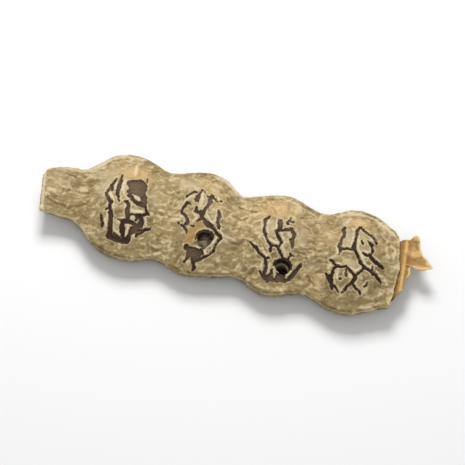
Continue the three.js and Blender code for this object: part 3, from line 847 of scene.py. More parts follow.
def skin_ground(w, skin, here, spots, small):
    """The colour of dry skin: tan, with patches, streaks, flecks, pores, spots and wrinkles, with painted
    shade towards the lower seam and in the wrinkles' valleys, and a painted highlight on their crests.
    """
    calm = w.band(w.stored("blush"), 0.0, 0.9, 1.0, 0.25)
    relief = w.math("MULTIPLY", w.stored("relief"), calm)
    # Painted shade: the skin turns more olive and less buff towards the lower seam, as the stored shade
    # rises.
    low = w.math("MULTIPLY", w.stored("shade"), 0.4)
    patchy = w.math("MAXIMUM", w.math("MULTIPLY", spots["Patches"], 0.65), low)
    colour = w.mix(patchy, opaque(skin.tan), opaque(skin.olive))
    buff = w.math("MULTIPLY", small["Patches"], w.band(w.stored("shade"), 0.0, 1.0, 0.75, 0.1))
    colour = w.mix(buff, colour, opaque(skin.buff))
    colour = w.mix(w.math("MULTIPLY", small["Streaks"], 0.55), colour, opaque(skin.olive))
    flecks = w.noise(w.stretched(here, (0.75, 1.5, 1), -30), 1.1, 4.0, 0.6, 0.6)
    colour = w.mix(w.band(flecks, 0.5, 0.62, 0.0, 0.6), colour, opaque(skin.olive))
    colour = w.mix(w.band(flecks, 0.37, 0.49, 0.62, 0.0), colour, opaque(skin.cream))
    colour = w.mix(w.stored("dull"), colour, opaque(skin.olive))
    colour = w.mix(w.math("MULTIPLY", w.stored("blush"), 0.8), colour, opaque(skin.blush))
    colour = w.mix(w.math("MULTIPLY", spots["Specks"], 0.45), colour, opaque(skin.crease))
    colour = w.mix(w.math("MULTIPLY", small["Specks"], 0.35), colour, opaque(skin.speck))
    colour = w.mix(w.band(w.stored("spot"), -0.12, 0.18, 0.6, 0.0), colour, opaque(skin.crease))
    # Painted shade in the wrinkles' valleys, and a painted highlight of cream on their crests.
    colour = w.mix(w.band(relief, -0.9, -0.1, 0.9, 0.0), colour, opaque(skin.crease))
    crests = w.math("MULTIPLY", w.band(relief, 0.1, 0.7), 0.7)
    return w.mix(crests, colour, opaque(skin.cream))


def skin_edges(w, skin, here, small, colour, fray, edge, uneven):
    """Lays the pale edges over the skin: the painted highlights on the seams' beads and along the rims,
    the lips that have curled off the gum, and the bare and worn places between them."""
    frayed = w.band(w.noise(here, 0.3, 3.0), 0.42, 0.55, 0.45, 1.0)
    # Painted highlight: the bead colour where light catches the seams and the ends' rims.
    bead = w.math("MULTIPLY", w.band(w.math("ADD", w.stored("seam"), fray), 0.15, 0.85), frayed)
    colour = w.mix(bead, colour, opaque(skin.bead))
    colour = w.mix(w.stored("ashen"), colour, opaque(skin.ashen))
    inside = w.band(w.stored("marked"), 0.0, 1.0, 0.3, 0.9)
    lips = w.math("MULTIPLY", w.math("MULTIPLY", w.band(edge, 0.1, 0.42, 0.9, 0.0), uneven), inside)
    colour = w.mix(lips, colour, opaque(skin.cream))
    rubbed = w.band(w.stored("worn"), -0.4, 0.4, 0.95, 0.0)
    rubbed = w.math("MULTIPLY", rubbed, w.band(small["Streaks"], 0.0, 1.0, 1.0, 0.75))
    colour = w.mix(rubbed, colour, opaque(skin.worn))
    # Bare cream skin, and the painted highlights along the rims, in the lip colour.
    pale = w.band(w.math("ADD", w.stored("pale"), fray), -0.16, 0.2, 0.85, 0.0)
    return w.mix(pale, colour, opaque(skin.lip))


def gum_colour(w, skin, here, small, edge):
    """Dried gum: near black at its edges and in thin lines, and dusty brown where it has faded."""
    inner = w.math("MULTIPLY", w.stored("faded"), w.band(edge, -0.24, 0.05, 1.0, 0.5))
    inner = w.math("MULTIPLY", inner, w.band(w.noise(here, 0.9, 3.0), 0.36, 0.52, 0.8, 1.0))
    gum = w.mix(inner, opaque(skin.gum_edge), opaque(skin.gum_middle))
    return w.mix(w.math("MULTIPLY", small["Streaks"], 0.3), gum, opaque(skin.gum_edge))


def skin_material(skin):
    """The husk's leathery skin, with its gum, pale lips, worn patches, blush and pale seams."""
    mottle, tooth = shared_groups()
    material, w = new_material("Pod Skin")
    here = millimetres(w)
    spots = place_group(w, mottle, {"Vector": here, "Patch Size": 2.6, "Speck Size": 0.42})
    small = place_group(w, mottle, {"Vector": here, "Patch Size": 0.9, "Speck Size": 0.24})
    # Every edge is frayed by the same noise, and the gum's lips come and go along it.
    fray = w.math("MULTIPLY", w.math("SUBTRACT", w.noise(here, 2.6, 5.0, 0.6), 0.5), 0.65)
    edge = w.math("ADD", w.stored("gum"), fray)
    uneven = w.band(w.noise(here, 1.1, 3.0), 0.4, 0.56, 0.25, 0.95)
    in_gum = w.band(edge, -0.07, 0.15, 1.0, 0.0)
    colour = skin_ground(w, skin, here, spots, small)
    colour = skin_edges(w, skin, here, small, colour, fray, edge, uneven)
    colour = w.mix(in_gum, colour, gum_colour(w, skin, here, small, edge))
    colour = w.mix(w.stored("broken"), colour, opaque(skin.broken))
    # The skin steps up from the gum, and its lip curls a little higher still.
    fine = place_group(w, tooth, {"Vector": here, "Size": 0.5, "Strength": 0.75})["Normal"]
    curl = w.math("MULTIPLY", w.band(edge, 0.1, 0.45, 0.4, 0.0), uneven)
    height = w.math("ADD", w.band(edge, -0.14, 0.1), curl)
    lipped = w.add("Bump", {"Strength": 0.6, "Distance": 0.1 * MM, "Height": height, "Normal": fine})
    roughness = w.mix(in_gum, grey(0.85), grey(0.6))
    return finish_material(material, w, colour, roughness, lipped.outputs[0], 0.12)


def plain_material(name, light, dark, roughness, tooth_strength, patch_size, rim=None):
    """A two-colour dry finish for a seed or a chamber's wall, with a painted highlight on the rim of a
    seed's own bore.
    """
    mottle, tooth = shared_groups()
    material, w = new_material(name)
    here = millimetres(w)
    spots = place_group(w, mottle, {"Vector": here, "Patch Size": patch_size, "Speck Size": 0.3})
    colour = w.mix(spots["Patches"], opaque(dark), opaque(light))
    colour = w.mix(w.math("MULTIPLY", spots["Specks"], 0.5), colour, opaque(dark))
    # A painted highlight on the rim of a seed's bore.
    if rim:
        colour = w.mix(w.stored("rim"), colour, opaque(rim))
    fine = place_group(w, tooth, {"Vector": here, "Size": 0.4, "Strength": tooth_strength})["Normal"]
    uneven = w.mix(spots["Streaks"], grey(roughness), grey(roughness + 0.12))
    return finish_material(material, w, colour, uneven, fine, 0.1)


def lining_material(lining):
    """Golden papery lining: fine fibres across it, painted shade in its folds' hollows and a painted
    highlight on their crests, a painted shadow at its root, and pale torn edges.
    """
    mottle, tooth = shared_groups()
    material, w = new_material("Lining")
    here = millimetres(w)
    spots = place_group(w, mottle, {"Vector": here, "Patch Size": 1.5, "Speck Size": 0.3})
    drawn = w.stretched(here, (3.2, 0.5, 1))
    fibres = w.band(w.noise(drawn, 1.1, 4.0, 0.6), 0.35, 0.65)
    colour = w.mix(w.band(spots["Patches"], 0.0, 1.0, 0.45, 1.0), opaque(lining.dark), opaque(lining.light))
    colour = w.mix(w.math("MULTIPLY", fibres, 0.15), colour, opaque(lining.pale))
    fold = w.stored("fold")
    # Painted shade in the hollows of the folds, and a painted highlight on their crests.
    colour = w.mix(w.band(fold, -0.25, 0.0, 0.85, 0.0), colour, opaque(lining.dark))
    colour = w.mix(w.band(fold, 0.08, 0.28, 0.0, 0.8), colour, opaque(lining.pale))
    colour = w.mix(w.math("MULTIPLY", w.stored("rim"), 0.75), colour, opaque(lining.rim))
    # Painted shadow on the root, where the lining runs under the husk's torn edge.
    colour = w.mix(w.math("MULTIPLY", w.stored("root"), 0.85), colour, opaque(lining.stain))
    colour = w.mix(w.band(w.stored("stain"), -0.15, 0.2, 0.75, 0.0), colour, opaque(lining.stain))
    fine = place_group(w, tooth, {"Vector": drawn, "Size": 0.6, "Strength": 0.2})["Normal"]
    return finish_material(material, w, colour, w.mix(fibres, grey(0.6), grey(0.7)), fine, 0.2)


# ---- Settings ----


class BabulHusk(bpy.types.PropertyGroup):
    """Sizes of the husk."""

    first_lobe: FloatProperty(
        name="First lobe", description="Place of the first seed along the pod",
        default=-0.0165, unit="LENGTH", precision=5)
    lobe_pitch: FloatProperty(
        name="Lobe pitch", description="Distance from one seed to the next",
        default=0.01157, min=0.005, unit="LENGTH", precision=5)
    mid_height: FloatProperty(
        name="Seam height", description="Height of the seams over the surface the pod lies on",
        default=0.0024, min=0.001, unit="LENGTH", precision=5)
    seam_half: FloatProperty(
        name="Seam half thickness", description="Half the husk's thickness beside its seams",
        default=0.00055, min=0.0003, unit="LENGTH", precision=5)
    swell_top: FloatProperty(
        name="Upper swelling", description="How much a seed raises the upper wall",
        default=0.00172, min=0.0, unit="LENGTH", precision=5)
    swell_under: FloatProperty(
        name="Lower swelling", description="How much a seed lowers the lower wall, before its worn flat",
        default=0.002, min=0.0, unit="LENGTH", precision=5)
    swell_along: FloatProperty(
        name="Swelling along", description="Half width of a lobe's swelling along the pod",
        default=0.0047, min=0.001, unit="LENGTH", precision=5)
    swell_across: FloatProperty(
        name="Swelling across", description="Half width of a lobe's swelling across the pod",
        default=0.0066, min=0.001, unit="LENGTH", precision=5)
    neck_lift: FloatProperty(
        name="Neck lift", description="How far the broken neck rises",
        default=0.0008, unit="LENGTH", precision=5)
    tip_lift: FloatProperty(
        name="Tip lift", description="How far the torn end rises",
        default=0.00035, unit="LENGTH", precision=5)
    edge_radius: FloatProperty(
        name="Seam rounding", description="Radius of the rounding at both seams, seen from above",
        default=0.0006, min=0.0002, unit="LENGTH", precision=5)
    gum_depth: FloatProperty(
        name="Gum depth", description="How far the dried gum lies below the skin",
        default=0.00014, min=0.0, unit="LENGTH", precision=5)
    crumple: FloatProperty(
        name="Crumpling", description="Height of the dry skin's broad dents",
        default=0.00011, min=0.0, unit="LENGTH", precision=5)
    wrinkle: FloatProperty(
        name="Wrinkles", description="Depth of the dry skin's wrinkles",
        default=0.00009, min=0.0, unit="LENGTH", precision=5)
    wall: FloatProperty(
        name="Wall", description="Thickness of each wall at the torn end",
        default=0.0009, min=0.0002, unit="LENGTH", precision=5)
    chamber_gap: FloatProperty(
        name="Chamber gap", description="Room round each loose seed",
        default=0.0003, min=0.0001, unit="LENGTH", precision=5)


def colour_property(name, description, default):
    return FloatVectorProperty(
        name=name, description=description, default=default, size=3, min=0.0, max=1.0, subtype="COLOR")


class BabulSkin(bpy.types.PropertyGroup):
    """Colours of the husk."""

    tan: colour_property("Tan", "The skin's main colour", (0.395, 0.284, 0.129))
    # Olive and buff also carry painted shade: more olive and less buff towards the lower seam.
    olive: colour_property("Olive", "Its darker patches", (0.245, 0.182, 0.08))
    buff: colour_property("Buff", "Its lighter patches", (0.56, 0.415, 0.212))
    blush: colour_property("Blush", "The warm tint near the upper seam", (0.66, 0.45, 0.22))
    # Cream is also the painted highlight on the wrinkles' crests.
    cream: colour_property("Cream", "Crests and the lips round the gum", (0.69, 0.565, 0.35))
    # Lip is also the painted highlight along the brightest rims.
    lip: colour_property("Lip", "The barest, palest skin", (0.72, 0.6, 0.41))
    # Bead is a painted highlight, where light catches the seams and the ends' rims.
    bead: colour_property("Bead", "The thin bright line of the seams", (0.78, 0.67, 0.46))
    speck: colour_property("Speck", "Dark pores", (0.15, 0.1, 0.045))
    # Crease is also the painted shade in the wrinkles' valleys.
    crease: colour_property("Crease", "The bottoms of wrinkles, and dull spots", (0.17, 0.12, 0.055))
    gum_edge: colour_property("Gum edge", "Dried gum at its edge and in thin lines", (0.028, 0.013, 0.005))
    gum_middle: colour_property("Gum middle", "Gum that has faded to a dusty brown", (0.165, 0.105, 0.065))
    ashen: colour_property("Ashen", "Paler, greyer skin between the marks", (0.56, 0.46, 0.29))
    worn: colour_property("Worn", "The golden layer under worn skin", (0.38, 0.235, 0.085))
    broken: colour_property("Broken", "The brown fibres of a broken end", (0.24, 0.135, 0.058))
    # Darker copies of the chamber colour paint the shade on the exit holes' walls.
    chamber: colour_property("Chamber", "The wall of a seed chamber", (0.2, 0.12, 0.055))


class BabulLining(bpy.types.PropertyGroup):
    """The torn tongue of lining."""

    thickness: FloatProperty(
        name="Thickness", description="Thickness of the papery sheet",
        default=0.0002, min=0.00005, unit="LENGTH", precision=5)
    light: colour_property("Light", "Its main golden colour", (0.43, 0.26, 0.078))
    # Dark is also painted shade in the folds' hollows, pale also the painted highlight on their crests, and
    # stain also the painted shadow at the root.
    dark: colour_property("Dark", "Its browner folds", (0.29, 0.155, 0.045))
    pale: colour_property("Pale", "Its crests and fibres", (0.68, 0.43, 0.17))
    rim: colour_property("Rim", "Its torn edge", (0.78, 0.57, 0.31))
    stain: colour_property("Stain", "Brown streaks", (0.25, 0.125, 0.035))


class BabulSeeds(bpy.types.PropertyGroup):
    """The loose seeds."""

    # Dark is also the painted shade on the eaten seed, and light the painted highlight on its bore's rim.
    light: colour_property("Light", "The dusty seed coat", (0.32, 0.24, 0.165))
    dark: colour_property("Dark", "The darker seed coat", (0.035, 0.02, 0.012))


class BabulStage(bpy.types.PropertyGroup):
    """The camera and the floor."""

    azimuth: FloatProperty(
        name="Azimuth", description="The camera's turn round the pod",
        default=math.radians(15.2), subtype="ANGLE")
    elevation: FloatProperty(
        name="Elevation", description="The camera's height over the horizon",
        default=math.radians(62), subtype="ANGLE")
    lens: FloatProperty(
        name="Lens", description="The camera's focal length, in millimetres",
        default=110, min=20, subtype="NONE")
    fill: FloatProperty(
        name="Frame filled", description="How much of the frame the pod's length fills",
        default=0.87, min=0.2, max=1.0, subtype="FACTOR")
    floor: colour_property("Floor", "The pale floor", (0.9, 0.9, 0.9))


# ---- The husk ----

# How many faces go across the upper wall, the lower wall and each quarter of a seam's rounding,
# and along the husk, the broken neck's face, the torn walls' thickness and the slot between them.
TOP_STEPS = 116
UNDER_STEPS = 40
EDGE_STEPS = 6
AROUND = TOP_STEPS + UNDER_STEPS + 4 * EDGE_STEPS
LENGTH_STEPS = 486
NECK_STEPS = 8
LIP_STEPS = 6
SLOT_STEPS = 7
# The slot between the torn walls, and how far back its mouth lies from their outer edge.
SLOT_DEPTH = 3.4
SLOT_HALF = 0.36
SLOT_SET_BACK = 0.18
# How each end slants across the pod, for each millimetre across, and how far that reaches along it.
BREAK_LEAN = 0.23
BREAK_LEAN_FADE = 4.0
TORN_LEAN = 0.2
TORN_LEAN_FADE = 5.0
# How deep the break's face is hollowed, and its edge chipped.
BREAK_HOLLOW = 0.3
BREAK_CHIP = 0.16


def section_walk():
    """The way round a section, one entry a vertex: across, from 1 to -1 inside the seam's
    rounding, the rounding's share of the seam radius, its height share, and up or down."""
    rows = []
    quarter = np.linspace(0, math.pi / 2, EDGE_STEPS, endpoint=False)
    for side, steps in ((1, TOP_STEPS), (-1, UNDER_STEPS)):
        rows += [(side, math.cos(a), math.sin(a), side) for a in quarter]
        # Closer set over the lobes than beside the seams.
        shares = spread(-1, 1, steps + 1, lambda t: np.where(np.abs(t) < 0.78, 1.0, 0.6))
        rows += [(-side * t, 0.0, 1.0, side) for t in shares[:-1]]
        rows += [(-side, math.sin(a), math.cos(a), side) for a in quarter]
    return np.array(rows).T


def husk_section(husk, x):
    """One ring round the husk at each x: arrays of y and z, with a row for each x."""
    across, rounding, share, side = section_walk()
    upper, lower = seam_at(UPPER_SEAM, x), seam_at(LOWER_SEAM, x)
    radius = husk.edge_radius / MM
    middle = ((upper + lower) / 2)[:, None]
    inner = ((upper - lower) / 2 - radius)[:, None]
    y = middle + inner * across + radius * rounding * np.sign(across)
    station = np.broadcast_to(x[:, None], y.shape)
    swell = np.where(side > 0, husk.swell_top, husk.swell_under) / MM
    half = husk.seam_half / MM + swell * swelling(husk, station, y)
    z = mid_height(husk, station) + side * half * share
    return y, z


def wave(y, size, seed):
    """Smooth noise along one line."""
    return grain(np.column_stack([y, np.zeros_like(y), np.zeros_like(y)]), size, 3, seed)


def torn_edge(y, side):
    """How far along the pod each wall reaches at its torn end."""
    slope = TORN_LEAN * np.clip(y, 0, None) + 0.012 * np.clip(y + 2, None, 0) ** 2
    upper = TORN_END - slope + 0.1 * wave(y, 1.1, 70.2) + 0.05 * wave(y, 0.35, 33.3)
    lower = TORN_END - 0.15 - slope + 0.25 * wave(y, 1.6, 90.4)
    return np.where(side > 0, upper, lower)


def neck_rings(husk, neck_y, neck_z):
    """The broken neck: rings that close over its squared, hollowed face."""
    centre_y, centre_z = neck_y.mean(), mid_height(husk, np.array([NECK_END]))[0]
    rings = []
    for k in np.linspace(0.05, 0.98, NECK_STEPS):
        y = centre_y + (neck_y - centre_y) * k
        z = centre_z + (neck_z - centre_z) * k
        hollow = BREAK_HOLLOW * (1 - k ** 4) + 0.2 * wave(y + 9 * z, 0.9, 30.1) * (1 - k ** 8)
        lean = BREAK_LEAN * (neck_y.max() - y)
        rings.append(np.column_stack([NECK_END + lean + np.clip(hollow, 0, None), y, z]))
    return rings


def skin_rings(stations, outer_y, outer_z, side):
    """The outer skin, from the neck to the torn end, with each end pulled to its own slant."""
    rings = []
    for x, y, z in zip(stations, outer_y, outer_z):
        lean = BREAK_LEAN * (y.max() - y) * max(0, 1 - (x - NECK_END) / BREAK_LEAN_FADE)
        chip = BREAK_CHIP * (1 + wave(y, 0.8, 51.7)) * step(NECK_END + 0.8, NECK_END, x)
        pull = (torn_edge(y, side) - TORN_END) * max(0, 1 - (TORN_END - x) / TORN_LEAN_FADE)
        rings.append(np.column_stack([x + lean + chip + pull, y, z]))
    return rings


def torn_rings(husk, end_y, end_z):
    """The torn walls' thickness, then the slot between them, back to where it closes."""
    across, _, share, side = section_walk()
    end_mid = mid_height(husk, np.array([TORN_END]))[0]
    middle = (end_y.max() + end_y.min()) / 2
    reach = (end_y.max() - end_y.min()) / 2 - husk.wall / MM
    slot_y = middle + reach * across
    slot_z = end_mid + side * SLOT_HALF * share * (1 - 0.5 * np.abs(across) ** 4)
    rings = []
    for t in np.linspace(0, 1, LIP_STEPS + 1)[1:]:
        y = end_y + (slot_y - end_y) * t
        z = end_z + (slot_z - end_z) * t
        fibres = 0.1 * wave(y + 3 * t, 0.35, 110.6) * math.sin(math.pi * t)
        rings.append(np.column_stack([torn_edge(y, side) - SLOT_SET_BACK * t + fibres, y, z]))
    for t in np.linspace(0, 1, SLOT_STEPS + 1)[1:]:
        y = middle + (slot_y - middle) * (1 - 0.25 * t * t)
        z = end_mid + (slot_z - end_mid) * (1 - 0.6 * t)
        back = (torn_edge(y, side) - SLOT_SET_BACK) * (1 - t) + (TORN_END - SLOT_DEPTH) * t
        rings.append(np.column_stack([back, y, z]))
    return rings


def husk_places(husk):
    """Every vertex of the husk, ring by ring, and how broken its ring is."""

    def finer_on_lobes(x):
        return 1.0 + 0.75 * step(0.15, 0.4, swelling(husk, x, np.zeros_like(x)))

    side = section_walk()[3]
    stations = spread(NECK_END, TORN_END, LENGTH_STEPS + 1, finer_on_lobes)
    outer_y, outer_z = husk_section(husk, stations)
    neck = neck_rings(husk, outer_y[0], outer_z[0])
    skin = skin_rings(stations, outer_y, outer_z, side)
    torn = torn_rings(husk, outer_y[-1], outer_z[-1])
    broken = [1.0] * len(neck) + [0.0] * len(skin) + [1.0] * len(torn)
    return np.array(neck + skin + torn), np.array(broken)


def skin_relief(husk, places, gum, pale, crease):
    """The skin's height over the smooth husk, in millimetres, and its wrinkles from -1 to 1."""
    x, y = places[:, 0], places[:, 1]
    from_seam = np.minimum(seam_at(UPPER_SEAM, x) - y, y - seam_at(LOWER_SEAM, x))
    # Dry skin: broad dents, folded valleys, ribs at a slant to the pod, and pebbling.
    warp = np.column_stack([grain(places, 2.2, 2, seed) for seed in (17.1, 29.3, 37.9)])
    folded = places + 0.8 * warp
    dents = grain(places, (4.5, 3.5, 4), 2, 11.3)
    valleys = ridge(grain(folded, (2.1, 1.35, 1.6), 2, 23.9), 0, 0.17)
    valleys *= step(-0.3, 0.3, grain(places, 2.6, 2, 61.9))
    turned = np.column_stack([folded[:, 0] + folded[:, 1], folded[:, 1] - folded[:, 0], folded[:, 2]])
    ribs = grain(turned, (2.1, 1.0, 1.4), 3, 47.3)
    pebble = grain(places, 0.5, 2, 41.5)
    # The long creases, each with a raised lip beside it.
    in_crease = ridge(np.clip(crease + 0.05, 0, None), 0, 0.12)
    beside_crease = ridge(crease, 0.3, 0.18)
    wrinkles = 0.8 * ribs + 0.22 * pebble - 0.5 * valleys - 0.6 * in_crease + 0.35 * beside_crease
    # The seams' beads, the skin's lips round the gum, and the sunken, smoother gum.
    on_skin = step(-0.1, 0.1, gum)
    bead = 0.1 * ridge(from_seam, 0.25, 0.25) - 0.1 * ridge(from_seam, 1.0, 0.5)
    lips = 0.05 * ridge(gum, 0.18, 0.16) + 0.05 * step(0.1, -0.1, pale)
    sunk = husk.gum_depth / MM * step(0.07, -0.1, gum)
    height = husk.crumple / MM * dents + husk.wrinkle / MM * wrinkles * (0.4 + 0.6 * on_skin)
    return height + bead + lips - sunk, np.clip(1.1 * wrinkles, -1, 1)


def shaft(name, hole, bottom, top, seed):
    """A slightly uneven drill for an exit hole, a little wider at its top."""
    start_clean()
    x, y, radius_x, radius_y, taper = hole
    bpy.ops.mesh.primitive_cylinder_add(vertices=72, radius=1, depth=1, end_fill_type="NGON")
    drill = bpy.context.object
    drill.name = name
    places = places_of(drill) * MM
    turn = np.arctan2(places[:, 1], places[:, 0])
    round_it = np.column_stack([np.cos(turn), np.sin(turn), np.full_like(turn, seed)])
    uneven = 1 + 0.07 * grain(round_it, 0.8, 2, seed) + 0.07 * grain(round_it, 0.3, 2, seed)
    low = places[:, 2] < 0
    flare = np.where(low, 0.95, 1.03)
    put(drill, np.column_stack([
        x + radius_x * np.cos(turn) * (1 + taper * np.sin(turn)) * uneven * flare,
        y + radius_y * np.sin(turn) * uneven * flare,
        np.where(low, bottom, top),
    ]))
    return drill


def lens(name, box, extra, segments, rings):
    """A flattened round body that fills a box, or stands a little out of it all round."""
    start_clean()
    low, high = Vector(box[0]) / MM, Vector(box[1]) / MM
    middle, half = (low + high) / 2, (high - low) / 2
    bpy.ops.mesh.primitive_uv_sphere_add(segments=segments, ring_count=rings, radius=1)
    body = bpy.context.object
    body.name = body.data.name = name
    put(body, places_of(body) * MM * np.array([axis + extra for axis in half]) + np.array(middle))
    return body


class MESH_OT_babul_husk(bpy.types.Operator):
    """Make the husk: its two walls, seams, gum, exit holes, seed chambers and broken ends"""

    bl_idname = "mesh.babul_husk"
    bl_label = "Husk"

    def execute(self, context):
        husk, skin = context.scene.babul_husk, context.scene.babul_skin
        sheet = self.walls(husk)
        self.wrinkle(husk, sheet)
        sheet.data.materials.append(skin_material(skin))
        self.bore(husk, skin, sheet)
        self.keep_finish(husk, sheet)
        only(sheet)
        bpy.ops.object.shade_smooth_by_angle(angle=math.radians(50))
        hand_over(sheet, "pod_husk")
        return {"FINISHED"}

    def walls(self, husk):
        """The smooth husk, closed along its seams and at both ends."""
        rings, broken = husk_places(husk)
        sheet, i, j = new_grid("husk", AROUND, len(rings) - 1)
        put(sheet, rings[j, i % AROUND])
        keep_value(sheet, "broken", broken[j])
        edit(
            sheet,
            lambda: bpy.ops.mesh.remove_doubles(threshold=0.0002 * MM),
            lambda: bpy.ops.mesh.select_all(action="DESELECT"),
            lambda: bpy.ops.mesh.select_non_manifold(),
            lambda: bpy.ops.mesh.fill_holes(sides=0),
            lambda: bpy.ops.mesh.select_all(action="SELECT"),
            lambda: bpy.ops.mesh.normals_make_consistent(inside=False),
        )
        return sheet

    def wrinkle(self, husk, sheet):
        """Raises the skin's wrinkles, sinks the gum and roughens the broken ends."""
        places = places_of(sheet)
        broken = value_of(sheet, "broken")
        upper = places[:, 2] > mid_height(husk, places[:, 0])
        gum, pale, _, _, crease = markings(husk, places, upper)
        height = skin_relief(husk, places, gum, pale, crease)[0] * (1 - broken)
        height += broken * 0.06 * grain(places, (0.9, 0.3, 0.3), 2, 5.0)
        places = places + normals_of(sheet) * height[:, None]
        places[:, 2] = np.maximum(places[:, 2], 0)
        put(sheet, places)

    def bore(self, husk, skin, sheet):
        """Hollows a chamber round each loose seed, and drills its exit hole, whose walls take a near-black
        copy of the chamber colour as painted shade.
        """
        shade = shaded(skin.chamber, 0.4)
        wall = plain_material("Chamber Wall", skin.chamber, shade, 0.7, 0.6, 1.0)
        # Painted shade: the exit holes' walls are near-black copies of the chamber colour.
        bore = plain_material("Bore Wall Painted Shade", shade, shaded(skin.chamber, 0.1), 0.9, 0.6, 0.6)
        for which, hole in HOLES.items():
            chamber = lens("chamber", SEED_BOXES[which], husk.chamber_gap / MM, 48, 24)
            chamber.data.materials.append(wall)
            cut(sheet, chamber)
            drill = shaft("drill", hole, husk.mid_height / MM, 8.0, hole[0])
            drill.data.materials.append(bore)
            cut(sheet, drill)

    def keep_finish(self, husk, sheet):
        """Stores where each finish lies on the cut husk."""
        places = places_of(sheet)
        over = places[:, 2] - mid_height(husk, places[:, 0])
        upper = over > 0
        gum, pale, worn, spot, crease = markings(husk, places, upper)
        along, across = laid_out(husk, places)
        from_lobe = np.abs(along[:, None] - np.array(lobe_middles(husk))).min(1)
        # Painted highlights along the rims, stored with the bare cream skin.
        rims = stroke_distance(along, across, RIM_HIGHLIGHTS) + step(0.3, 0.1, over)
        pale_or_rim_highlight = np.minimum(pale, rims)
        keep_value(sheet, "gum", np.minimum(gum, 3))
        keep_value(sheet, "pale", np.minimum(pale_or_rim_highlight, 3))
        keep_value(sheet, "worn", np.where(upper, np.minimum(worn, 3), 3))
        keep_value(sheet, "spot", np.minimum(spot, 3))
        # The wrinkles' height, which also paints shade in their valleys and a highlight on their crests.
        keep_value(sheet, "relief", skin_relief(husk, places, gum, pale, crease)[1])
        from_marks = np.hypot(from_lobe / MARKED_ALONG, across / MARKED_ACROSS)
        keep_value(sheet, "marked", step(1.15, 0.75, from_marks))
        keep_value(sheet, "blush", np.where(upper, soft_patches(along, across, BLUSH), 0))
        keep_value(sheet, "dull", soft_patches(along, across, DULL))
        keep_value(sheet, "faded", soft_patches(along, across, FADED))
        keep_value(sheet, "ashen", soft_patches(along, across, ASHEN))
        # Painted highlight along the seams and the ends' rims.
        keep_value(sheet, "seam", self.painted_edge_highlights(husk, places, over))
        # Painted shade, rising towards the lower seam.
        keep_value(sheet, "shade", step(5.0, -6.5, across))

    def painted_edge_highlights(self, husk, places, over):
        """Painted highlight along both seams and at the rims of both ends, from 0 to 1."""
        x, y = places[:, 0], places[:, 1]
        from_upper = seam_at(UPPER_SEAM, x) - y
        from_seam = np.minimum(from_upper, y - seam_at(LOWER_SEAM, x))
        from_break = x - NECK_END - BREAK_LEAN * from_upper
        from_torn = torn_edge(y, 1) - x
        shoulder = 0.7 * ridge(over, 0.7 * husk.seam_half / MM, 0.16) * step(0.75, 0.5, from_seam)
        join = 0.45 * ridge(over, 0, 0.16) * step(0.3, 0.1, from_seam)
        neck = 0.5 * step(0.4, 0.2, from_break) * step(-0.9, -0.5, over)
        torn = 0.4 * step(0.6, 0.2, from_torn) * step(-0.3, -0.05, over)
        return np.max([shoulder, join, neck, torn], axis=0)


# ---- The lining ----

# Where the lining starts inside the husk, its lower edge and its width, and its first fold.
LINING_ROOT = 22.2
LINING_LOW = -5.4
LINING_WIDTH = 12.1
FIRST_FOLD = 25.75

# Its brown stains, its one furrow and its crests, in strokes of (along, across, half width).
LINING_STAINS = [
    [(26.98, 5.15, .08), (27.2, 4.65, .16), (27.5, 4.15, .08)],
    [(25.8, 5.15, .1), (26.35, 4.78, .1)],
    [(26.3, 5.45, .04), (26.9, 5.5, .1), (27.35, 5.55, .04)],
]
LINING_FOLD = [
    [(26.0, 2.55, .02), (26.43, 2.18, .08), (26.94, 1.94, .12), (27.56, 1.91, .12), (28.25, 2.25, .08),
     (28.7, 2.5, .02)],
]
LINING_CRESTS = [
    [(26.3, 3.3, .1), (27.0, 3.2, .15), (27.7, 3.5, .1)],
    [(28.9, 2.75, .05), (29.4, 2.1, .1)],
    [(28.4, 1.05, .1), (29.65, 1.4, .1)],
    [(26.6, 6.1, .1), (27.1, 6.0, .1)],
]


def lining_edge(y):
    """How far the torn lining reaches at each place across."""
    points = [
        (-5.6, 24.6), (-4.6, 25.6), (-3.4, 26.1), (-2.2, 26.8), (-1.2, 26.5), (-0.4, 26.9), (0.1, 27.1),
        (0.6, 27.0), (1.05, 26.9), (1.4, 27.0), (1.47, 28.9), (1.56, 29.5), (1.64, 29.9), (1.78, 30.05),
        (2.0, 29.9), (2.3, 29.6), (2.85, 29.15), (3.15, 28.7), (3.4, 28.3), (3.95, 27.95), (4.6, 27.75),
        (5.4, 27.5), (6.05, 27.3), (6.4, 27.0), (6.55, 26.65), (6.6, 26.4),
    ]
    py, px = np.array(points).T
    return np.interp(y, py, px) + 0.05 * wave(y, 0.4, 12.5)


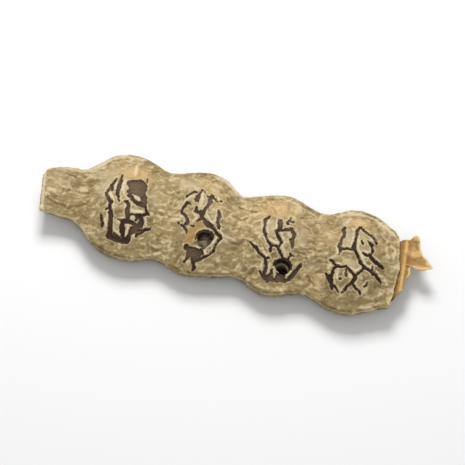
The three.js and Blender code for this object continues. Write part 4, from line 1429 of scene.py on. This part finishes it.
class MESH_OT_babul_lining(bpy.types.Operator):
    """Make the papery tongue of lining that stands out of the torn end"""

    bl_idname = "mesh.babul_lining"
    bl_label = "Lining"
    ALONG = 120
    ACROSS = 160

    def execute(self, context):
        husk, lining = context.scene.babul_husk, context.scene.babul_lining
        sheet = self.tongue(husk)
        modifier = sheet.modifiers.new("Thickness", "SOLIDIFY")
        modifier.thickness = lining.thickness
        modifier.offset = 0.0
        only(sheet)
        bpy.ops.object.modifier_apply(modifier="Thickness")
        edit(sheet, lambda: bpy.ops.mesh.normals_make_consistent(inside=False))
        sheet.data.materials.append(lining_material(lining))
        only(sheet)
        bpy.ops.object.shade_smooth_by_angle(angle=math.radians(50))
        hand_over(sheet, "pod_husk")
        return {"FINISHED"}

    def tongue(self, husk):
        """The folded, torn sheet, before it has a thickness, and where its finishes lie."""
        sheet, i, j = new_grid("lining", self.ALONG, self.ACROSS)
        u, v = i / self.ALONG, j / self.ACROSS
        y = LINING_LOW + LINING_WIDTH * v
        x = LINING_ROOT + (lining_edge(y) - LINING_ROOT) * u
        # The top corner stands out of the husk, the flap droops, and the root narrows.
        y = y - np.clip(y - 5.2, 0, None) * 0.85 * step(26.9, 25.6, x)
        below = y
        y = y - 0.5 * ridge(x, 28.5, 1.1) * ridge(y, 1.46, 0.8)
        y = y - 0.22 * step(25.2, 23.5, x) * (y - 0.4)
        out = x - (TORN_END - TORN_LEAN * np.clip(y, 0, None))
        furrow = stroke_distance(x, y, LINING_FOLD)
        crest = stroke_distance(x, y, LINING_CRESTS)
        from_fold = x - FIRST_FOLD + 0.08 * y
        fold = 0.3 * ridge(from_fold, 0.3, 0.3) - 0.12 * ridge(from_fold, 0.85, 0.3)
        fold += 0.26 * ridge(np.clip(crest, 0, None), 0, 0.5)
        fold -= 0.12 * ridge(np.clip(furrow, 0, None), 0, 0.4)
        fold *= step(-0.2, 0.3, out)
        level = mid_height(husk, np.minimum(x, TORN_END)) + 0.03 * np.clip(out, 0, None)
        places = np.column_stack([x, y, level + fold])
        places[:, 2] += 0.08 * grain(places, (0.8, 0.6, 1), 3, 61.0) * step(0, 0.6, out)
        put(sheet, places)
        rim = np.maximum(step(0.92, 0.985, u), step(0.96, 0.99, v))
        rim = np.maximum(rim, ridge(below, 1.55, 0.25) * step(27.0, 27.6, x))
        keep_value(sheet, "rim", rim * step(0.9, 1.6, out))
        # Where the lining runs under the torn edge, for its painted shadow.
        keep_value(sheet, "root", step(0.0, -0.3, from_fold + 0.12 * wave(y, 0.5, 66.1)))
        keep_value(sheet, "fold", fold)
        keep_value(sheet, "stain", np.minimum(stroke_distance(x, y, LINING_STAINS), 3))
        return sheet


# ---- The seeds ----


class MESH_OT_babul_seeds(bpy.types.Operator):
    """Make the loose seed under each exit hole"""

    bl_idname = "mesh.babul_seeds"
    bl_label = "Seeds"

    def execute(self, context):
        seeds = context.scene.babul_seeds
        # The eaten seed, deep in its hole, gets a near-black copy of the seed coat as painted shade, and its
        # bore's rim a painted highlight in the light coat colour.
        painted_shade_coat = shaded(seeds.dark, 0.4)
        coats = {
            "second": plain_material("Seed Coat", seeds.light, seeds.dark, 0.8, 0.7, 1.3),
            "third": plain_material("Eaten Seed Coat Painted Shade", seeds.dark, painted_shade_coat, 0.8, 0.7, 0.5, seeds.light),
        }
        for which, box in SEED_BOXES.items():
            seed = lens("seed_" + which, box, 0.0, 96, 48)
            seed.data.materials.append(coats[which])
            if which == "third":
                self.bore(seed, box, coats[which])
            only(seed)
            bpy.ops.object.shade_smooth_by_angle(angle=math.radians(40))
            hand_over(seed, "seed_" + which + "_lobe")
        return {"FINISHED"}

    def bore(self, seed, box, coat):
        """Drills the beetle's bore into a seed, and paints a highlight on its rim."""
        drill = shaft("drill", SEED_BORE, box[0].z / MM + 1.0, 6.0, 1.0)
        drill.data.materials.append(coat)
        cut(seed, drill)
        places = places_of(seed)
        x, y, radius_x, radius_y, _ = SEED_BORE
        away = np.hypot((places[:, 0] - x) / radius_x, (places[:, 1] - y) / radius_y)
        top = step(box[1].z / MM - 0.5, box[1].z / MM - 0.3, places[:, 2])
        keep_value(seed, "rim", ridge(away, 1.0, 0.14) * top)


# ---- The stage ----

# The lamps, as (name, azimuth, elevation, distance and size in pod lengths, power). Power 1 is
# LAMP_WATTS at a metre, and is kept at any distance.
LAMPS = [("key_light", -162, 48, 4.0, 1.6, 1.35), ("fill_light", 25, 60, 5.0, 4.0, 0.25)]
LAMP_WATTS = 6.3


def towards(azimuth, elevation):
    """The direction from the pod to a lamp or the camera. Azimuth 0 looks from the -Y side."""
    flat = math.cos(elevation)
    return Vector((math.sin(azimuth) * flat, -math.cos(azimuth) * flat, math.sin(elevation)))


class SCENE_OT_babul_stage(bpy.types.Operator):
    """Set up the floor, the soft lights, the white background and the camera"""

    bl_idname = "scene.babul_stage"
    bl_label = "Stage"

    def execute(self, context):
        stage = context.scene.babul_stage
        low, high = CAD_BOX
        middle = (low + high) / 2
        length = high.x - low.x
        self.floor(stage, length)
        self.world(context.scene)
        for name, azimuth, elevation, distance, size, power in LAMPS:
            back = towards(math.radians(azimuth), math.radians(elevation))
            self.lamp(name, back, distance * length, size * length, power)
        self.camera(context.scene, stage, middle, length)
        context.scene.view_settings.view_transform = "Standard"
        return {"FINISHED"}

    def floor(self, stage, length):
        start_clean()
        bpy.ops.mesh.primitive_plane_add(size=60 * length)
        floor = bpy.context.object
        floor.name = "floor"
        material, w = new_material("Floor")
        sight = w.add("LightPath").outputs
        seen = w.math("MAXIMUM", sight["Is Camera Ray"], sight["Is Glossy Ray"])
        colour = w.mix(seen, opaque(shaded(stage.floor, 0.6)), opaque(stage.floor))
        # Far from the pod the floor fades into the white behind it.
        here = w.add("TexCoord").outputs["Object"]
        away = w.add("VectorMath", {0: here}, operation="LENGTH").outputs["Value"]
        far = w.band(away, 0.6 * length, 3.0 * length)
        colour = w.mix(far, colour, (0, 0, 0, 1))
        surface = w.add("BsdfPrincipled", {"Base Color": colour, "Roughness": 0.9, "Emission Strength": far})
        surface.inputs["Emission Color"].default_value = (1, 1, 1, 1)
        w.add("OutputMaterial", {"Surface": surface.outputs[0]})
        floor.data.materials.append(material)
        start_clean()

    def world(self, scene):
        world = bpy.data.worlds.new("Studio")
        world.use_nodes = True
        world.node_tree.nodes.clear()
        w = Wiring(world.node_tree)
        sight = w.add("LightPath").outputs
        seen = w.math("MAXIMUM", sight["Is Camera Ray"], sight["Is Glossy Ray"])
        seen = w.math("MAXIMUM", seen, sight["Is Transmission Ray"])
        strength = w.band(seen, 0.0, 1.0, 0.42, 1.0)
        background = w.add("Background", {"Color": (1, 1, 1, 1), "Strength": strength})
        w.add("OutputWorld", {"Surface": background.outputs[0]})
        scene.world = world

    def lamp(self, name, back, distance, size, power):
        start_clean()
        bpy.ops.object.light_add(type="AREA", location=back * distance)
        lamp = bpy.context.object
        lamp.name = name
        lamp.rotation_euler = back.to_track_quat("Z", "Y").to_euler()
        lamp.data.size = size
        lamp.data.energy = power * LAMP_WATTS * distance ** 2
        start_clean()

    def camera(self, scene, stage, middle, length):
        back = towards(stage.azimuth, stage.elevation)
        data = bpy.data.cameras.new("camera")
        data.lens = stage.lens
        camera = bpy.data.objects.new("camera", data)
        scene.collection.objects.link(camera)
        distance = length / stage.fill * stage.lens / data.sensor_width
        camera.location = middle + back * distance
        camera.rotation_euler = back.to_track_quat("Z", "Y").to_euler()
        data.clip_start = distance / 100
        data.clip_end = distance * 100
        scene.camera = camera


class VIEW3D_PT_babul_pod(bpy.types.Panel):
    """Lists the pod's pieces and its stage"""

    bl_idname = "VIEW3D_PT_babul_pod"
    bl_label = "Babul Pod"
    bl_space_type = "VIEW_3D"
    bl_region_type = "UI"
    bl_category = "Babul Pod"

    def draw(self, context):
        for settings, operator in PIECES:
            box = self.layout.box()
            group = getattr(context.scene, settings)
            for name in type(group).__annotations__:
                box.prop(group, name)
            box.operator(operator)


# What the panel shows: the settings of each piece, and the operator that makes it from them.
SETTINGS = {
    "babul_husk": BabulHusk,
    "babul_skin": BabulSkin,
    "babul_lining": BabulLining,
    "babul_seeds": BabulSeeds,
    "babul_stage": BabulStage,
}
PIECES = [
    ("babul_husk", "mesh.babul_husk"),
    ("babul_skin", "mesh.babul_husk"),
    ("babul_lining", "mesh.babul_lining"),
    ("babul_seeds", "mesh.babul_seeds"),
    ("babul_stage", "scene.babul_stage"),
]
CLASSES = (
    *SETTINGS.values(),
    MESH_OT_babul_husk,
    MESH_OT_babul_lining,
    MESH_OT_babul_seeds,
    SCENE_OT_babul_stage,
    VIEW3D_PT_babul_pod,
)


def register():
    for kind in CLASSES:
        bpy.utils.register_class(kind)
    for name, kind in SETTINGS.items():
        setattr(bpy.types.Scene, name, PointerProperty(type=kind))


def unregister():
    for name in SETTINGS:
        delattr(bpy.types.Scene, name)
    for kind in reversed(CLASSES):
        bpy.utils.unregister_class(kind)


def main():
    register()
    bpy.ops.scene.babul_stage()
    bpy.ops.mesh.babul_husk()
    bpy.ops.mesh.babul_lining()
    bpy.ops.mesh.babul_seeds()


if __name__ == "__main__":
    main()
